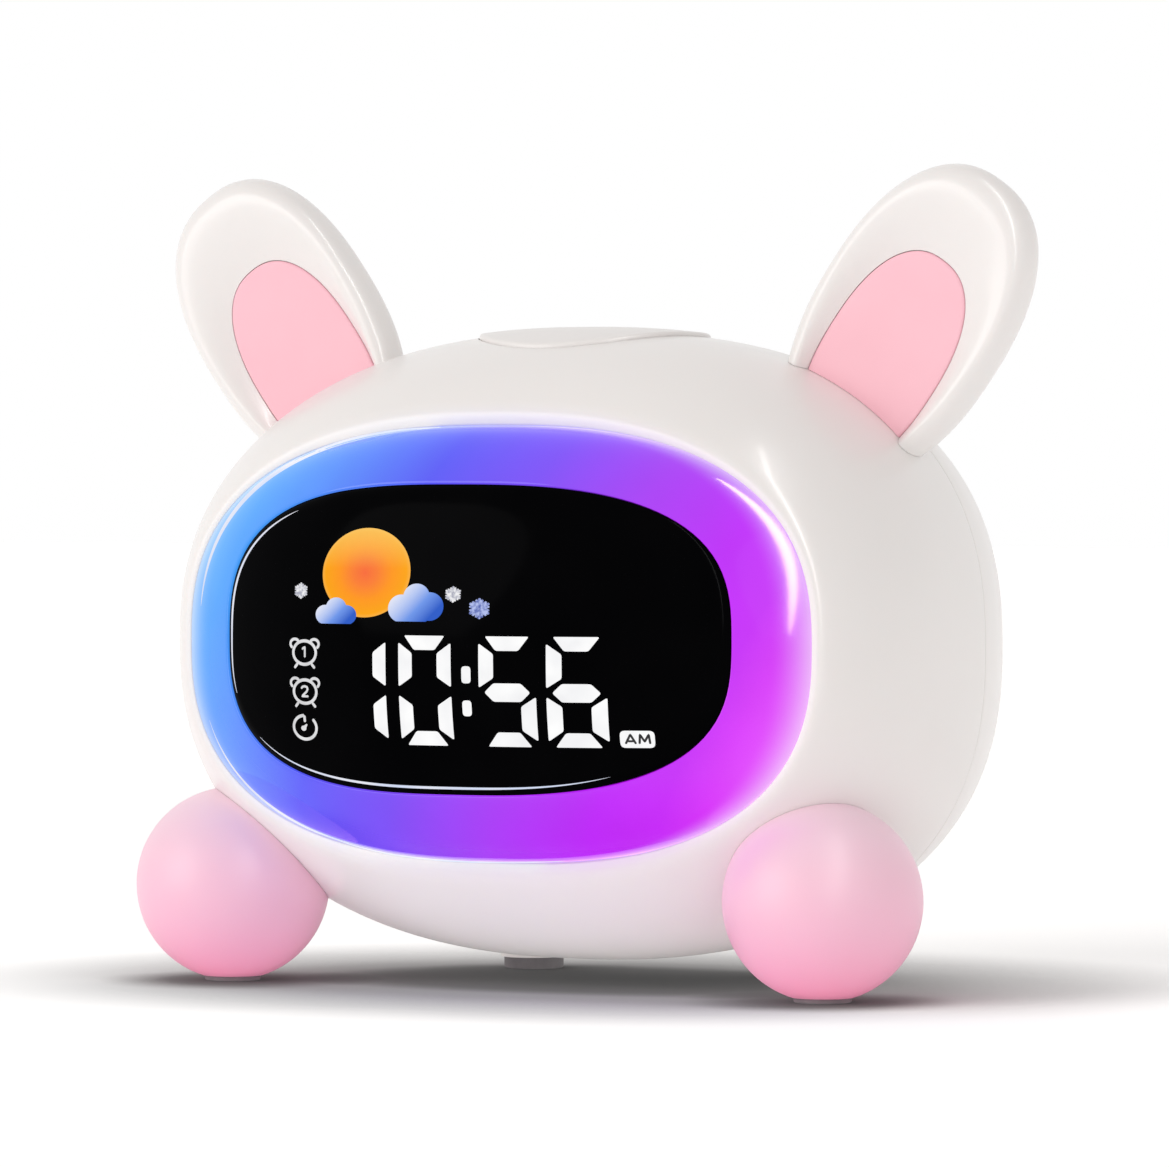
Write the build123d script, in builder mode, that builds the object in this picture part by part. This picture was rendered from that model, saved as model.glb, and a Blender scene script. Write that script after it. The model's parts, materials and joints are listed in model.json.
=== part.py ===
"""Rabbit-shaped alarm clock with a night-light ring, as separate pieces.

Millimetres. +X is to the viewer's right, the display faces -Y, +Z is up.
The origin is on the desk, under the middle of the clock.
"""
from build123d import *
from math import asin, cos, pi, radians, sin, sqrt
import os

os.makedirs("parts", exist_ok=True)

# ---------------------------------------------------------------- body
body_half_width = 67.8
body_half_height = 51.4
body_power = 2.42          # superellipse exponent of every cross-section
belly_gap = 3.9            # desk to the lowest point of the belly
flank_front_reach = 51.3   # where the front taper of the width would close
crown_front_reach = 46.6   # the same for the height
rear_reach = 53.6          # where the rear taper would close
flank_power = 2.45
crown_power = 2.0
face_depth = 31.8          # body middle to the flat rim of the front opening
face_rise = 0.85           # the front opening sits this much above the middle
back_depth = 48.0          # body middle to the flat rear panel
seam_depth = 9.6           # body middle to the joint between the two shells
shell_wall = 2.2
boss_cover = 0.8           # material left over the end of a boss or post
lip_depth = 2.5            # thickness of the rim round the front opening
tongue_depth = 2.0         # lip of the front shell that enters the rear cover
tongue_set = 0.2           # from the shell's inner face out to the tongue
tongue_wall = 0.9
fit_gap = 0.1              # between pieces that are glued or clamped together
slide_gap = 0.25           # round a button, on each side

# ---------------------------------------------------------------- night-light ring and window
ring_half_width = 56.4
ring_half_height = 34.9
ring_power = 2.53
dome_height = 17.8         # how far the ring and window stand out of the body
dome_radius = 97.0         # of the dome, seen from above
crown_bend = 2.2           # exponent of the dome's side view
ring_wall = 3.2
ring_flange = 0.6          # how far the flange reaches past the opening
flange_wall = 1.6
window_half_width = 45.6
window_half_height = 24.3
window_power = 2.84
window_wall = 2.0
window_rise = 0.65         # the window sits this much above the ring's middle
ledge_width = 1.3          # of the ring, behind the window's edge

# ---------------------------------------------------------------- light box, display and boards
board_wall = 1.6
board_depth = 20.0         # body middle to the front of the display board
box_wall = 1.5
led_count = 16
led_side = 3.5
led_height = 1.4
display_half_width = 32.0
display_half_height = 15.5
display_height = 17.0
board_screw_x = 30.0
board_screw_z = 37.0       # above and below the middle of the opening
boss_radius = 3.0
chip_side = 10.0
chip_height = 1.4
battery_width = 50.0
battery_height = 34.0
battery_wall = 8.0
battery_round = 2.0
tape_wall = 1.0
tape_margin = 3.0
led_gap = 0.4
tube_clearance = 0.3       # between the light tube and the ring's ledge
display_round = 1.5
chip_x = 36.0

# ---------------------------------------------------------------- ears
ear_x = 57.7               # middle of the ear's outline, from the middle of the body
ear_z = 52.9
ear_depth = 2.8
ear_splay = 35.5           # degrees that the ear leans outwards
ear_half_width = 16.7
ear_half_length = 26.8
ear_power = 2.35
ear_wall = 9.0
ear_round = 3.6            # how far the rounded rim narrows towards its faces
dish_depth = 3.0           # hollow in the ear's front
insert_half_width = 10.6
insert_half_length = 18.9
insert_drop = 7.7          # the insert sits towards the ear's root
insert_wall = 1.4
dish_spread = 1.6          # how far the hollow widens up to the ear's face
cut_over = 0.5             # how far a cutting form stands out of what it cuts
tenon_width = 10.0
tenon_wall = 5.0
tenon_shift = 1.3          # behind the ear's middle plane, clear of the hollow
tenon_from = 23.0          # root end of the tenon, from the ear's middle
tenon_to = 13.0

# ---------------------------------------------------------------- feet and pads
foot_radius = 15.9
foot_x = 54.06
foot_depth = 22.64         # in front of the body's middle
foot_pad_radius = 4.6
foot_pad_wall = 0.8
peg_radius = 4.0
peg_length = 13.0
peg_root = 4.0
peg_lean = (-0.52, 0.32, 0.79)
stub_x = 24.0
stub_depth = 26.0
stub_radius = 5.6
pad_radius = 5.0
pad_wall = 2.0

# ---------------------------------------------------------------- top button
cap_radius = 19.0
cap_y = 2.8
cap_proud = 0.7
cap_wall = 2.6
cap_skirt = 6.0            # from the crown of the body down to the flange
cap_flange = 1.3
cap_flange_wall = 1.2
cap_travel = 0.6
cap_stem_radius = 2.5
post_x = 24.0
post_radius = 2.6
crown_board_drop = 11.4    # crown of the body to the top of the switch board
crown_board_half_length = 27.4
crown_board_half_width = 5.5
switch_side = 6.0
switch_height = 3.4
plunger_radius = 1.6
press_gap = 0.2            # left under a button when it is pressed home

# ---------------------------------------------------------------- rear keys, speaker and socket
key_radius = 3.5
key_proud = 1.6
key_travel = 0.8
key_pitch = 11.0
key_count = 5
key_rise = 13.0
key_flange = 0.8
key_flange_wall = 1.0
key_stem_radius = 1.5
key_stem = 1.6
key_round = 0.8
key_board_depth = 38.0     # body middle to the rear face of the key board
key_board_half_width = 31.0
key_board_top = 19.5
key_board_step = 6.5
key_board_low = -16.5
key_leg_left = 13.0
key_board_screws = ((-28.2, 16.7), (28.2, 16.7), (28.2, -13.7))
standoff_radius = 2.4
socket_x = 22.0
socket_z = -9.0
socket_half_width = 4.5
socket_half_height = 1.65
socket_recess = 0.6        # of the mouth behind the rear panel's face
socket_shell = 0.4
socket_blade_half_width = 3.3
socket_blade_half_height = 0.4
socket_throat = 6.0
speaker_x = -12.0
speaker_z = -10.0
speaker_radius = 14.0
speaker_depth = 5.0
magnet_radius = 8.0
magnet_depth = 4.0
grille_rings = 3
grille_pitch = 3.2
grille_hole_radius = 0.9
grille_spokes = 6          # holes in the first ring, and added by each further one
collar_wall = 1.4
collar_height = 3.0

# ---------------------------------------------------------------- screws
cover_screws = ((36.0, 40.3), (46.0, -35.2))   # from the body's middle, mirrored in x
cover_boss_radius = 3.8
cover_post_radius = 4.2      # round the screw well, in the rear cover
cover_boss_length = (24.0, 14.0)               # upper and lower, from the seam forwards
screw_shank_radius = 1.25
screw_head_radius = 2.4
screw_head_height = 1.6
hole_spare = 0.5           # of a screw hole past the screw's tip
screw_gap = 0.05           # thread allowance round a shank
well_floor_depth = 15.0    # body middle to the seat of a cover screw's head
cover_screw_length = 18.0
short_screw_length = 6.5
crown_screw_length = 5.5

quarter_steps = 6          # spans of each quarter of a superellipse
body_stations = 15
dome_stations = 9
ear_stations = 7
dome_close = 0.985         # share of the dome's height where its loft is capped

mid_z = belly_gap + body_half_height
face_z = mid_z + face_rise
window_z = face_z + window_rise
board_back = board_depth - board_wall
window_front = face_depth + dome_height


def signed_power(value, power):
    """Power of a number that keeps its sign."""
    return (1 if value >= 0 else -1) * abs(value) ** power


def oval_point(turn, half_width, half_height, power, middle=(0.0, 0.0)):
    """Point of a superellipse at an angle."""
    return (
        middle[0] + half_width * signed_power(cos(turn), 2 / power),
        middle[1] + half_height * signed_power(sin(turn), 2 / power),
    )


def oval(half_width, half_height, power, middle=(0.0, 0.0), mode=Mode.ADD):
    """Superellipse face in the open sketch, bounded by four smooth quarter lines."""
    headings = [(0, 1), (-1, 0), (0, -1), (1, 0)]
    with BuildLine() as outline:
        for quarter in range(4):
            turns = [
                pi / 2 * (quarter + step / quarter_steps) for step in range(quarter_steps + 1)
            ]
            Spline(
                [oval_point(turn, half_width, half_height, power, middle) for turn in turns],
                tangents=[headings[quarter], headings[(quarter + 1) % 4]],
            )
    make_face(outline.edges(), mode=mode)


def facing(depth):
    """Plane that looks at the viewer, at a depth in front of the body's middle."""
    return Plane.XZ.offset(depth)


def taper(y, reach, power):
    """Share of the full size that is left at y, closing at reach."""
    return (1 - (abs(y) / reach) ** power) ** (1 / power)


def body_half_sizes(y, inset=0.0):
    """Half width and half height of the body at y, its surface moved in by inset."""
    if y < 0:
        across = taper(y, flank_front_reach - inset, flank_power)
        upright = taper(y, crown_front_reach - inset, crown_power)
    else:
        across = taper(y, rear_reach - inset, flank_power)
        upright = across
    return (body_half_width - inset) * across, (body_half_height - inset) * upright


def body_form(inset, front_depth, rear_depth):
    """Solid pebble between two depths, its surface moved in by inset."""
    first = -asin(front_depth / flank_front_reach)
    last = asin(rear_depth / rear_reach)
    with BuildPart() as form:
        for station in range(body_stations):
            turn = first + (last - first) * station / (body_stations - 1)
            y = sin(turn) * (flank_front_reach if turn < 0 else rear_reach)
            rise = face_rise * (y / face_depth) ** 2 if y < 0 else 0.0
            half_width, half_height = body_half_sizes(y, inset)
            with BuildSketch(facing(-y)):
                oval(half_width, half_height, body_power, (0, mid_z + rise))
        loft()
    return form.part


def dome_half_sizes(share, inset=0.0):
    """Half width and half height of the dome where share of its height is reached."""
    height = dome_height - inset
    radius = dome_radius - inset
    left = height * (1 - share)
    full_width = sqrt(2 * radius * height - height**2)
    half_width = sqrt(2 * radius * left - left**2) / full_width * (ring_half_width - inset)
    half_height = (ring_half_height - inset) * (1 - share**crown_bend) ** (1 / crown_bend)
    return half_width, half_height


def dome_form(inset):
    """Solid dome that stands on the plane of the front opening, moved in by inset."""
    last = asin(dome_close)
    with BuildPart() as form:
        for station in range(dome_stations):
            share = sin(last * station / (dome_stations - 1))
            half_width, half_height = dome_half_sizes(share, inset)
            with BuildSketch(facing(face_depth + share * (dome_height - inset))):
                oval(half_width, half_height, ring_power, (0, face_z))
        loft()
    return form.part


def oval_column(half_width, half_height, power, middle_z, front_depth, rear_depth):
    """Straight block with a superellipse section, between two depths."""
    with BuildPart() as column:
        with BuildSketch(facing(rear_depth)):
            oval(half_width, half_height, power, (0, middle_z))
        extrude(amount=front_depth - rear_depth)
    return column.part


def screw(plane, length):
    """Pan-head screw whose head sits on the plane's front side."""
    with BuildPart() as one:
        with BuildSketch(plane):
            Circle(screw_head_radius)
        extrude(amount=screw_head_height)
        with BuildSketch(plane):
            Circle(screw_shank_radius)
        extrude(amount=-length)
    return one.part


def write(piece, name):
    """Label a finished piece and write its STEP file."""
    piece.part.label = name
    export_step(piece.part, f"parts/{name}.step")


# ---------------------------------------------------------------- shared forms
outer_form = body_form(0.0, face_depth, back_depth)
seat_form = body_form(-fit_gap, face_depth, back_depth)
boss_limit = body_form(boss_cover, face_depth - boss_cover, back_depth - boss_cover)
inner_form = body_form(shell_wall, face_depth - lip_depth, back_depth - shell_wall)
dome_outer = dome_form(0.0)
dome_window_back = dome_form(window_wall)
dome_ring_back = dome_form(ring_wall)

opening_half_width = ring_half_width + fit_gap
opening_half_height = ring_half_height + fit_gap
inner_seam_half_width, inner_seam_half_height = body_half_sizes(seam_depth, shell_wall)
tongue_half_width = inner_seam_half_width + tongue_set + tongue_wall
tongue_half_height = inner_seam_half_height + tongue_set + tongue_wall
board_screws = [
    (side * board_screw_x, face_z + level * board_screw_z)
    for side in (-1, 1) for level in (-1, 1)
]
cover_screw_spots = [
    (side * x, mid_z + z, length)
    for side in (-1, 1) for (x, z), length in zip(cover_screws, cover_boss_length)
]
post_bottom = mid_z + body_half_height - crown_board_drop
crown_z = mid_z + body_half_height
well_radius = screw_head_radius + 2 * slide_gap
hole_radius = screw_shank_radius + screw_gap
key_spots = [
    ((step - (key_count - 1) / 2) * key_pitch, mid_z + key_rise) for step in range(key_count)
]
key_flange_back = back_depth - shell_wall - fit_gap
plunger_height = (
    key_flange_back - key_flange_wall - key_stem - key_travel - press_gap
    - key_board_depth - switch_height
)
cap_stem_bottom = post_bottom + switch_height + plunger_height + cap_travel + press_gap


def cap_hole():
    """Round hole through the crown, shared by the two shells."""
    with BuildPart() as hole:
        with BuildSketch(Plane.XY.offset(crown_z - cap_skirt - shell_wall)):
            with Locations((0, cap_y)):
                Circle(cap_radius + slide_gap)
        extrude(amount=cap_skirt + 2 * shell_wall)
        with BuildSketch(Plane.XY.offset(crown_z - cap_skirt - shell_wall)):
            with Locations((0, cap_y)):
                Circle(cap_radius + cap_flange + slide_gap)
        extrude(amount=shell_wall + slide_gap)
    return hole.part


def ear_plane(side, offset=0.0):
    """Plane of an ear's middle: local x points outwards, local y along the ear."""
    lean = radians(ear_splay)
    return Plane(
        origin=(side * ear_x, ear_depth - offset, mid_z + ear_z),
        x_dir=(cos(lean), 0, -side * sin(lean)),
        z_dir=(0, -1, 0),
    )


def ear_tenon(side, gap=0.0):
    """Tongue at the ear's root, with a gap all round it for the slot."""
    with BuildPart() as tenon:
        with BuildSketch(ear_plane(side, -tenon_shift - tenon_wall / 2 - gap)):
            with Locations((0, -(tenon_from + tenon_to) / 2)):
                Rectangle(tenon_width + 2 * gap, tenon_from - tenon_to + 2 * gap)
        extrude(amount=tenon_wall + 2 * gap)
    return tenon.part


def foot_axis(side):
    """Plane at a foot's centre whose normal is the axis of its peg."""
    return Plane(
        origin=(side * foot_x, -foot_depth, foot_radius),
        z_dir=(side * peg_lean[0], peg_lean[1], peg_lean[2]),
    )


def foot_peg(side, gap=0.0):
    """Peg that holds a foot in the shell, with a gap round it for the hole."""
    with BuildPart() as peg:
        with BuildSketch(foot_axis(side).offset(peg_root)):
            Circle(peg_radius + gap)
        extrude(amount=peg_length - peg_root + 2 * gap)
    return peg.part


# ---------------------------------------------------------------- shells
with BuildPart() as board_bosses:
    with BuildSketch(facing(board_depth)):
        with Locations(*board_screws):
            Circle(boss_radius)
    extrude(amount=face_depth - board_depth)
    add(boss_limit, mode=Mode.INTERSECT)

with BuildPart() as cover_bosses:
    for x, z, length in cover_screw_spots:
        with BuildSketch(facing(-seam_depth)):
            with Locations((x, z)):
                Circle(cover_boss_radius)
        extrude(amount=length)
    add(boss_limit, mode=Mode.INTERSECT)

with BuildPart() as crown_posts:
    with BuildSketch(Plane.XY.offset(post_bottom)):
        with Locations((-post_x, 0), (post_x, 0)):
            Circle(post_radius)
    extrude(amount=crown_board_drop)
    add(boss_limit, mode=Mode.INTERSECT)

with BuildPart() as front_shell:
    add(outer_form)
    split(bisect_by=facing(-seam_depth), keep=Keep.TOP)
    add(inner_form, mode=Mode.SUBTRACT)
    with BuildSketch(facing(face_depth)):
        oval(opening_half_width, opening_half_height, ring_power, (0, face_z))
    extrude(amount=-lip_depth - fit_gap, mode=Mode.SUBTRACT)
    with BuildSketch(facing(-seam_depth)):
        oval(tongue_half_width, tongue_half_height, body_power, (0, mid_z))
        oval(tongue_half_width - tongue_wall, tongue_half_height - tongue_wall, body_power,
             (0, mid_z), mode=Mode.SUBTRACT)
    extrude(amount=-tongue_depth)
    add(board_bosses.part)
    add(cover_bosses.part)
    add(crown_posts.part)
    with BuildSketch(facing(board_depth)):
        with Locations(*board_screws):
            Circle(hole_radius)
    extrude(amount=short_screw_length - board_wall + hole_spare, mode=Mode.SUBTRACT)
    with BuildSketch(facing(-seam_depth)):
        with Locations(*[(x, z) for x, z, length in cover_screw_spots]):
            Circle(hole_radius)
    extrude(amount=cover_screw_length - well_floor_depth + seam_depth + hole_spare,
            mode=Mode.SUBTRACT)
    with BuildSketch(Plane.XY.offset(post_bottom)):
        with Locations((-post_x, 0), (post_x, 0)):
            Circle(hole_radius)
    extrude(amount=crown_screw_length - board_wall + hole_spare, mode=Mode.SUBTRACT)
    add(cap_hole(), mode=Mode.SUBTRACT)
    for side in (-1, 1):
        add(ear_tenon(side, fit_gap), mode=Mode.SUBTRACT)
        add(foot_peg(side, fit_gap), mode=Mode.SUBTRACT)
write(front_shell, "front_shell")

with BuildPart() as cover_posts:
    with BuildSketch(facing(-seam_depth)):
        with Locations(*[(x, z) for x, z, length in cover_screw_spots]):
            Circle(cover_post_radius)
    extrude(amount=seam_depth - back_depth)
    add(boss_limit, mode=Mode.INTERSECT)

with BuildPart() as rear_cover:
    add(outer_form)
    split(bisect_by=facing(-seam_depth), keep=Keep.BOTTOM)
    with BuildSketch(Plane.XY.offset(pad_wall)):
        with Locations((-stub_x, stub_depth), (stub_x, stub_depth)):
            Circle(stub_radius)
    extrude(amount=mid_z - body_half_height * taper(stub_depth, rear_reach, flank_power))
    add(inner_form, mode=Mode.SUBTRACT)
    add(cover_posts.part)
    with BuildSketch(facing(-seam_depth)):
        oval(tongue_half_width + fit_gap, tongue_half_height + fit_gap, body_power, (0, mid_z))
        oval(inner_seam_half_width - fit_gap, inner_seam_half_height - fit_gap,
             body_power, (0, mid_z), mode=Mode.SUBTRACT)
    extrude(amount=-tongue_depth - fit_gap, mode=Mode.SUBTRACT)
    with BuildSketch(facing(-seam_depth)):
        with Locations(*[(x, z) for x, z, length in cover_screw_spots]):
            Circle(hole_radius)
    extrude(amount=seam_depth - well_floor_depth, mode=Mode.SUBTRACT)
    with BuildSketch(facing(-well_floor_depth)):
        with Locations(*[(x, z) for x, z, length in cover_screw_spots]):
            Circle(well_radius)
    extrude(amount=well_floor_depth - back_depth, mode=Mode.SUBTRACT)
    with BuildSketch(facing(-key_board_depth)):
        with Locations(*[(x, mid_z + z) for x, z in key_board_screws]):
            Circle(standoff_radius)
            Circle(hole_radius, mode=Mode.SUBTRACT)
    extrude(amount=key_board_depth + shell_wall - back_depth)
    with BuildSketch(facing(shell_wall - back_depth)):
        with Locations((speaker_x, mid_z + speaker_z)):
            Circle(speaker_radius + fit_gap + collar_wall)
            Circle(speaker_radius + fit_gap, mode=Mode.SUBTRACT)
    extrude(amount=collar_height)
    with BuildSketch(facing(-back_depth)):
        with Locations(*key_spots):
            Circle(key_radius + slide_gap)
        with Locations((socket_x, mid_z + socket_z)):
            SlotOverall(2 * (socket_half_width + slide_gap), 2 * (socket_half_height + slide_gap))
        with Locations((speaker_x, mid_z + speaker_z)):
            Circle(grille_hole_radius)
            for ring in range(1, grille_rings + 1):
                with PolarLocations(ring * grille_pitch, grille_spokes * ring):
                    Circle(grille_hole_radius)
    extrude(amount=shell_wall, mode=Mode.SUBTRACT)
    add(cap_hole(), mode=Mode.SUBTRACT)
write(rear_cover, "rear_cover")

# ---------------------------------------------------------------- night-light ring and window
flange_back = face_depth - lip_depth - flange_wall
window_column = oval_column(window_half_width, window_half_height, window_power,
                            window_z, window_front + fit_gap, flange_back)

with BuildPart() as window_pocket:
    add(oval_column(window_half_width + fit_gap, window_half_height + fit_gap, window_power,
                    window_z, window_front + fit_gap, face_depth))
    add(dome_window_back, mode=Mode.SUBTRACT)

with BuildPart() as light_ring:
    add(dome_outer)
    with BuildSketch(facing(flange_back)):
        oval(ring_half_width, ring_half_height, ring_power, (0, face_z))
    extrude(amount=face_depth - flange_back)
    with BuildSketch(facing(flange_back)):
        oval(opening_half_width + ring_flange, opening_half_height + ring_flange,
             ring_power, (0, face_z))
    extrude(amount=flange_wall)
    add(dome_ring_back, mode=Mode.SUBTRACT)
    with BuildSketch(facing(face_depth)):
        oval(ring_half_width - ring_wall, ring_half_height - ring_wall, ring_power, (0, face_z))
    extrude(amount=flange_back - face_depth, mode=Mode.SUBTRACT)
    add(window_pocket.part, mode=Mode.SUBTRACT)
    add(oval_column(window_half_width - ledge_width, window_half_height - ledge_width,
                    window_power, window_z, window_front, flange_back), mode=Mode.SUBTRACT)
write(light_ring, "light_ring")

with BuildPart() as display_window:
    add(dome_outer)
    add(window_column, mode=Mode.INTERSECT)
    add(dome_window_back, mode=Mode.SUBTRACT)
write(display_window, "display_window")

# ---------------------------------------------------------------- light box and display
box_half_width = opening_half_width + ring_flange
box_half_height = opening_half_height + ring_flange
tube_half_width = window_half_width - ledge_width - tube_clearance
tube_half_height = window_half_height - ledge_width - tube_clearance
led_half_width = (box_half_width - box_wall + tube_half_width) / 2
led_half_height = (box_half_height - box_wall + tube_half_height) / 2
led_spots = [
    oval_point(2 * pi * (step + 0.5) / led_count, led_half_width, led_half_height,
               ring_power, (0, face_z))
    for step in range(led_count)
]

with BuildPart() as light_tube:
    add(oval_column(tube_half_width, tube_half_height, window_power, window_z,
                    window_front, face_depth))
    add(dome_form(window_wall + fit_gap), mode=Mode.INTERSECT)

with BuildPart() as light_box:
    add(light_tube.part)
    with BuildSketch(facing(board_depth)):
        oval(tube_half_width, tube_half_height, window_power, (0, window_z))
    extrude(amount=face_depth - board_depth)
    with BuildSketch(facing(board_depth)):
        oval(box_half_width, box_half_height, ring_power, (0, face_z))
        oval(box_half_width - box_wall, box_half_height - box_wall, ring_power, (0, face_z),
             mode=Mode.SUBTRACT)
    extrude(amount=flange_back - board_depth)
    with BuildSketch(facing(board_depth)):
        oval(box_half_width, box_half_height, ring_power, (0, face_z))
        with Locations(*led_spots):
            Rectangle(led_side + 2 * led_gap, led_side + 2 * led_gap, mode=Mode.SUBTRACT)
    extrude(amount=box_wall)
    add(oval_column(tube_half_width - box_wall, tube_half_height - box_wall, window_power,
                    window_z, window_front, board_depth), mode=Mode.SUBTRACT)
write(light_box, "light_box")

with BuildPart() as display_board:
    with BuildSketch(facing(board_back)):
        oval(box_half_width, box_half_height, ring_power, (0, face_z))
        with Locations(*board_screws):
            Circle(boss_radius)
        for side in (-1, 1):
            with Locations((side * board_screw_x, face_z)):
                Rectangle(2 * boss_radius, 2 * board_screw_z)
        with Locations(*board_screws):
            Circle(hole_radius, mode=Mode.SUBTRACT)
    extrude(amount=board_wall)
write(display_board, "display_board")

with BuildPart() as ring_leds:
    with BuildSketch(facing(board_depth)):
        with Locations(*led_spots):
            Rectangle(led_side, led_side)
    extrude(amount=led_height)
write(ring_leds, "ring_leds")

with BuildPart() as digit_display:
    with BuildSketch(facing(board_depth)):
        with Locations((0, window_z)):
            RectangleRounded(2 * display_half_width, 2 * display_half_height, display_round)
    extrude(amount=display_height)
write(digit_display, "digit_display")

with BuildPart() as board_chips:
    with BuildSketch(facing(board_back)):
        with Locations(*[(side * chip_x, face_z) for side in (-1, 1)]):
            Rectangle(chip_side, chip_side)
    extrude(amount=-chip_height)
write(board_chips, "board_chips")

with BuildPart() as battery_tape:
    with BuildSketch(facing(board_back)):
        with Locations((0, face_z)):
            Rectangle(battery_width - 2 * tape_margin, battery_height - 2 * tape_margin)
    extrude(amount=-tape_wall)
write(battery_tape, "battery_tape")

with BuildPart() as battery_pack:
    with BuildSketch(facing(board_back - tape_wall)):
        with Locations((0, face_z)):
            Rectangle(battery_width, battery_height)
    extrude(amount=-battery_wall)
    fillet(battery_pack.edges().filter_by(Axis.Z), battery_round)
write(battery_pack, "battery_pack")

# ---------------------------------------------------------------- ears
def ear_shell(side):
    """White ear with a hollow front, its root cut to the body and ending in a tenon."""
    mouth_spread = dish_spread * (dish_depth + cut_over) / dish_depth
    with BuildPart() as ear:
        for station in range(ear_stations):
            turn = pi * (station / (ear_stations - 1) - 0.5)
            inset = ear_round * (1 - cos(turn))
            with BuildSketch(ear_plane(side, ear_wall / 2 * sin(turn))):
                oval(ear_half_width - inset, ear_half_length - inset, ear_power)
        loft()
        with BuildSketch(ear_plane(side, ear_wall / 2 + cut_over)):
            oval(insert_half_width + mouth_spread, insert_half_length + mouth_spread, ear_power,
                 (0, -insert_drop))
        with BuildSketch(ear_plane(side, ear_wall / 2 - dish_depth)):
            oval(insert_half_width + fit_gap, insert_half_length + fit_gap, ear_power,
                 (0, -insert_drop))
        loft(mode=Mode.SUBTRACT)
        add(seat_form, mode=Mode.SUBTRACT)
        add(ear_tenon(side))
        with BuildSketch(ear_root(side)):
            Circle(hole_radius)
        extrude(amount=-short_screw_length - hole_spare, mode=Mode.SUBTRACT)
    return ear


def ear_insert(side):
    """Pink panel on the floor of the ear's hollow."""
    with BuildPart() as insert:
        with BuildSketch(ear_plane(side, ear_wall / 2 - dish_depth)):
            oval(insert_half_width, insert_half_length, ear_power, (0, -insert_drop))
        extrude(amount=insert_wall)
        add(seat_form, mode=Mode.SUBTRACT)
    return insert


def ear_root(side):
    """Plane at the root end of an ear's tenon, looking into the body."""
    lean = radians(ear_splay)
    return Plane(
        origin=(side * (ear_x - tenon_from * sin(lean)), ear_depth + tenon_shift,
                mid_z + ear_z - tenon_from * cos(lean)),
        z_dir=(-side * sin(lean), 0, -cos(lean)),
    )


def foot_ball(side):
    """Round foot cut to the body, flat below for its pad, with a peg into the shell."""
    with BuildPart() as foot:
        with BuildSketch(Plane.XZ.offset(foot_depth)):
            with Locations((side * foot_x, foot_radius)):
                Circle(foot_radius)
                with Locations((-foot_radius, 0)):
                    Rectangle(2 * foot_radius, 2 * foot_radius, mode=Mode.SUBTRACT)
        revolve(axis=Axis((side * foot_x, -foot_depth, 0), (0, 0, 1)))
        split(bisect_by=Plane.XY.offset(foot_pad_wall), keep=Keep.TOP)
        add(seat_form, mode=Mode.SUBTRACT)
        add(foot_peg(side))
        with BuildSketch(foot_axis(side).offset(peg_length)):
            Circle(hole_radius)
        extrude(amount=-short_screw_length - hole_spare, mode=Mode.SUBTRACT)
    return foot


right_side = {"ear": ear_shell(1), "ear_insert": ear_insert(1), "foot": foot_ball(1)}
for name, piece in right_side.items():
    write(piece, f"right_{name}")
    with BuildPart() as mirrored:
        mirror(piece.part, about=Plane.YZ)
    write(mirrored, f"left_{name}")

for side, hand in ((-1, "left"), (1, "right")):
    with BuildPart() as foot_pad:
        with BuildSketch(Plane.XY):
            with Locations((side * foot_x, -foot_depth)):
                Circle(foot_pad_radius)
        extrude(amount=foot_pad_wall)
    write(foot_pad, f"{hand}_foot_pad")
    with BuildPart() as rear_pad:
        with BuildSketch(Plane.XY):
            with Locations((side * stub_x, stub_depth)):
                Circle(pad_radius)
        extrude(amount=pad_wall)
    write(rear_pad, f"{hand}_rear_pad")

# ---------------------------------------------------------------- top button
with BuildPart() as cap_hollow:
    with BuildSketch(Plane.XY.offset(crown_z - cap_skirt - cap_flange_wall)):
        with Locations((0, cap_y)):
            Circle(cap_radius - cap_wall)
    extrude(amount=2 * cap_skirt)
    add(outer_form.moved(Location((0, 0, cap_proud - cap_wall))), mode=Mode.INTERSECT)

with BuildPart() as top_button:
    with BuildSketch(Plane.XY.offset(crown_z - cap_skirt)):
        with Locations((0, cap_y)):
            Circle(cap_radius)
    extrude(amount=2 * cap_skirt)
    add(outer_form.moved(Location((0, 0, cap_proud))), mode=Mode.INTERSECT)
    with BuildSketch(Plane.XY.offset(crown_z - cap_skirt)):
        with Locations((0, cap_y)):
            Circle(cap_radius + cap_flange)
    extrude(amount=-cap_flange_wall)
    add(cap_hollow.part, mode=Mode.SUBTRACT)
    with BuildSketch(Plane.XY.offset(cap_stem_bottom)):
        with Locations((0, 0)):
            Circle(cap_stem_radius)
    extrude(amount=crown_z - cap_stem_bottom)
write(top_button, "top_button")

with BuildPart() as crown_board:
    with BuildSketch(Plane.XY.offset(post_bottom)):
        Rectangle(2 * crown_board_half_length, 2 * crown_board_half_width)
        with Locations((-post_x, 0), (post_x, 0)):
            Circle(hole_radius, mode=Mode.SUBTRACT)
    extrude(amount=-board_wall)
write(crown_board, "crown_board")


def tact_switch(plane):
    """Square switch with a round plunger, standing on a plane."""
    with BuildPart() as switch:
        with BuildSketch(plane):
            Rectangle(switch_side, switch_side)
        extrude(amount=switch_height)
        with BuildSketch(plane.offset(switch_height)):
            Circle(plunger_radius)
        extrude(amount=plunger_height)
    return switch.part


with BuildPart() as crown_switch:
    add(tact_switch(Plane.XY.offset(post_bottom)))
write(crown_switch, "crown_switch")

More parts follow.
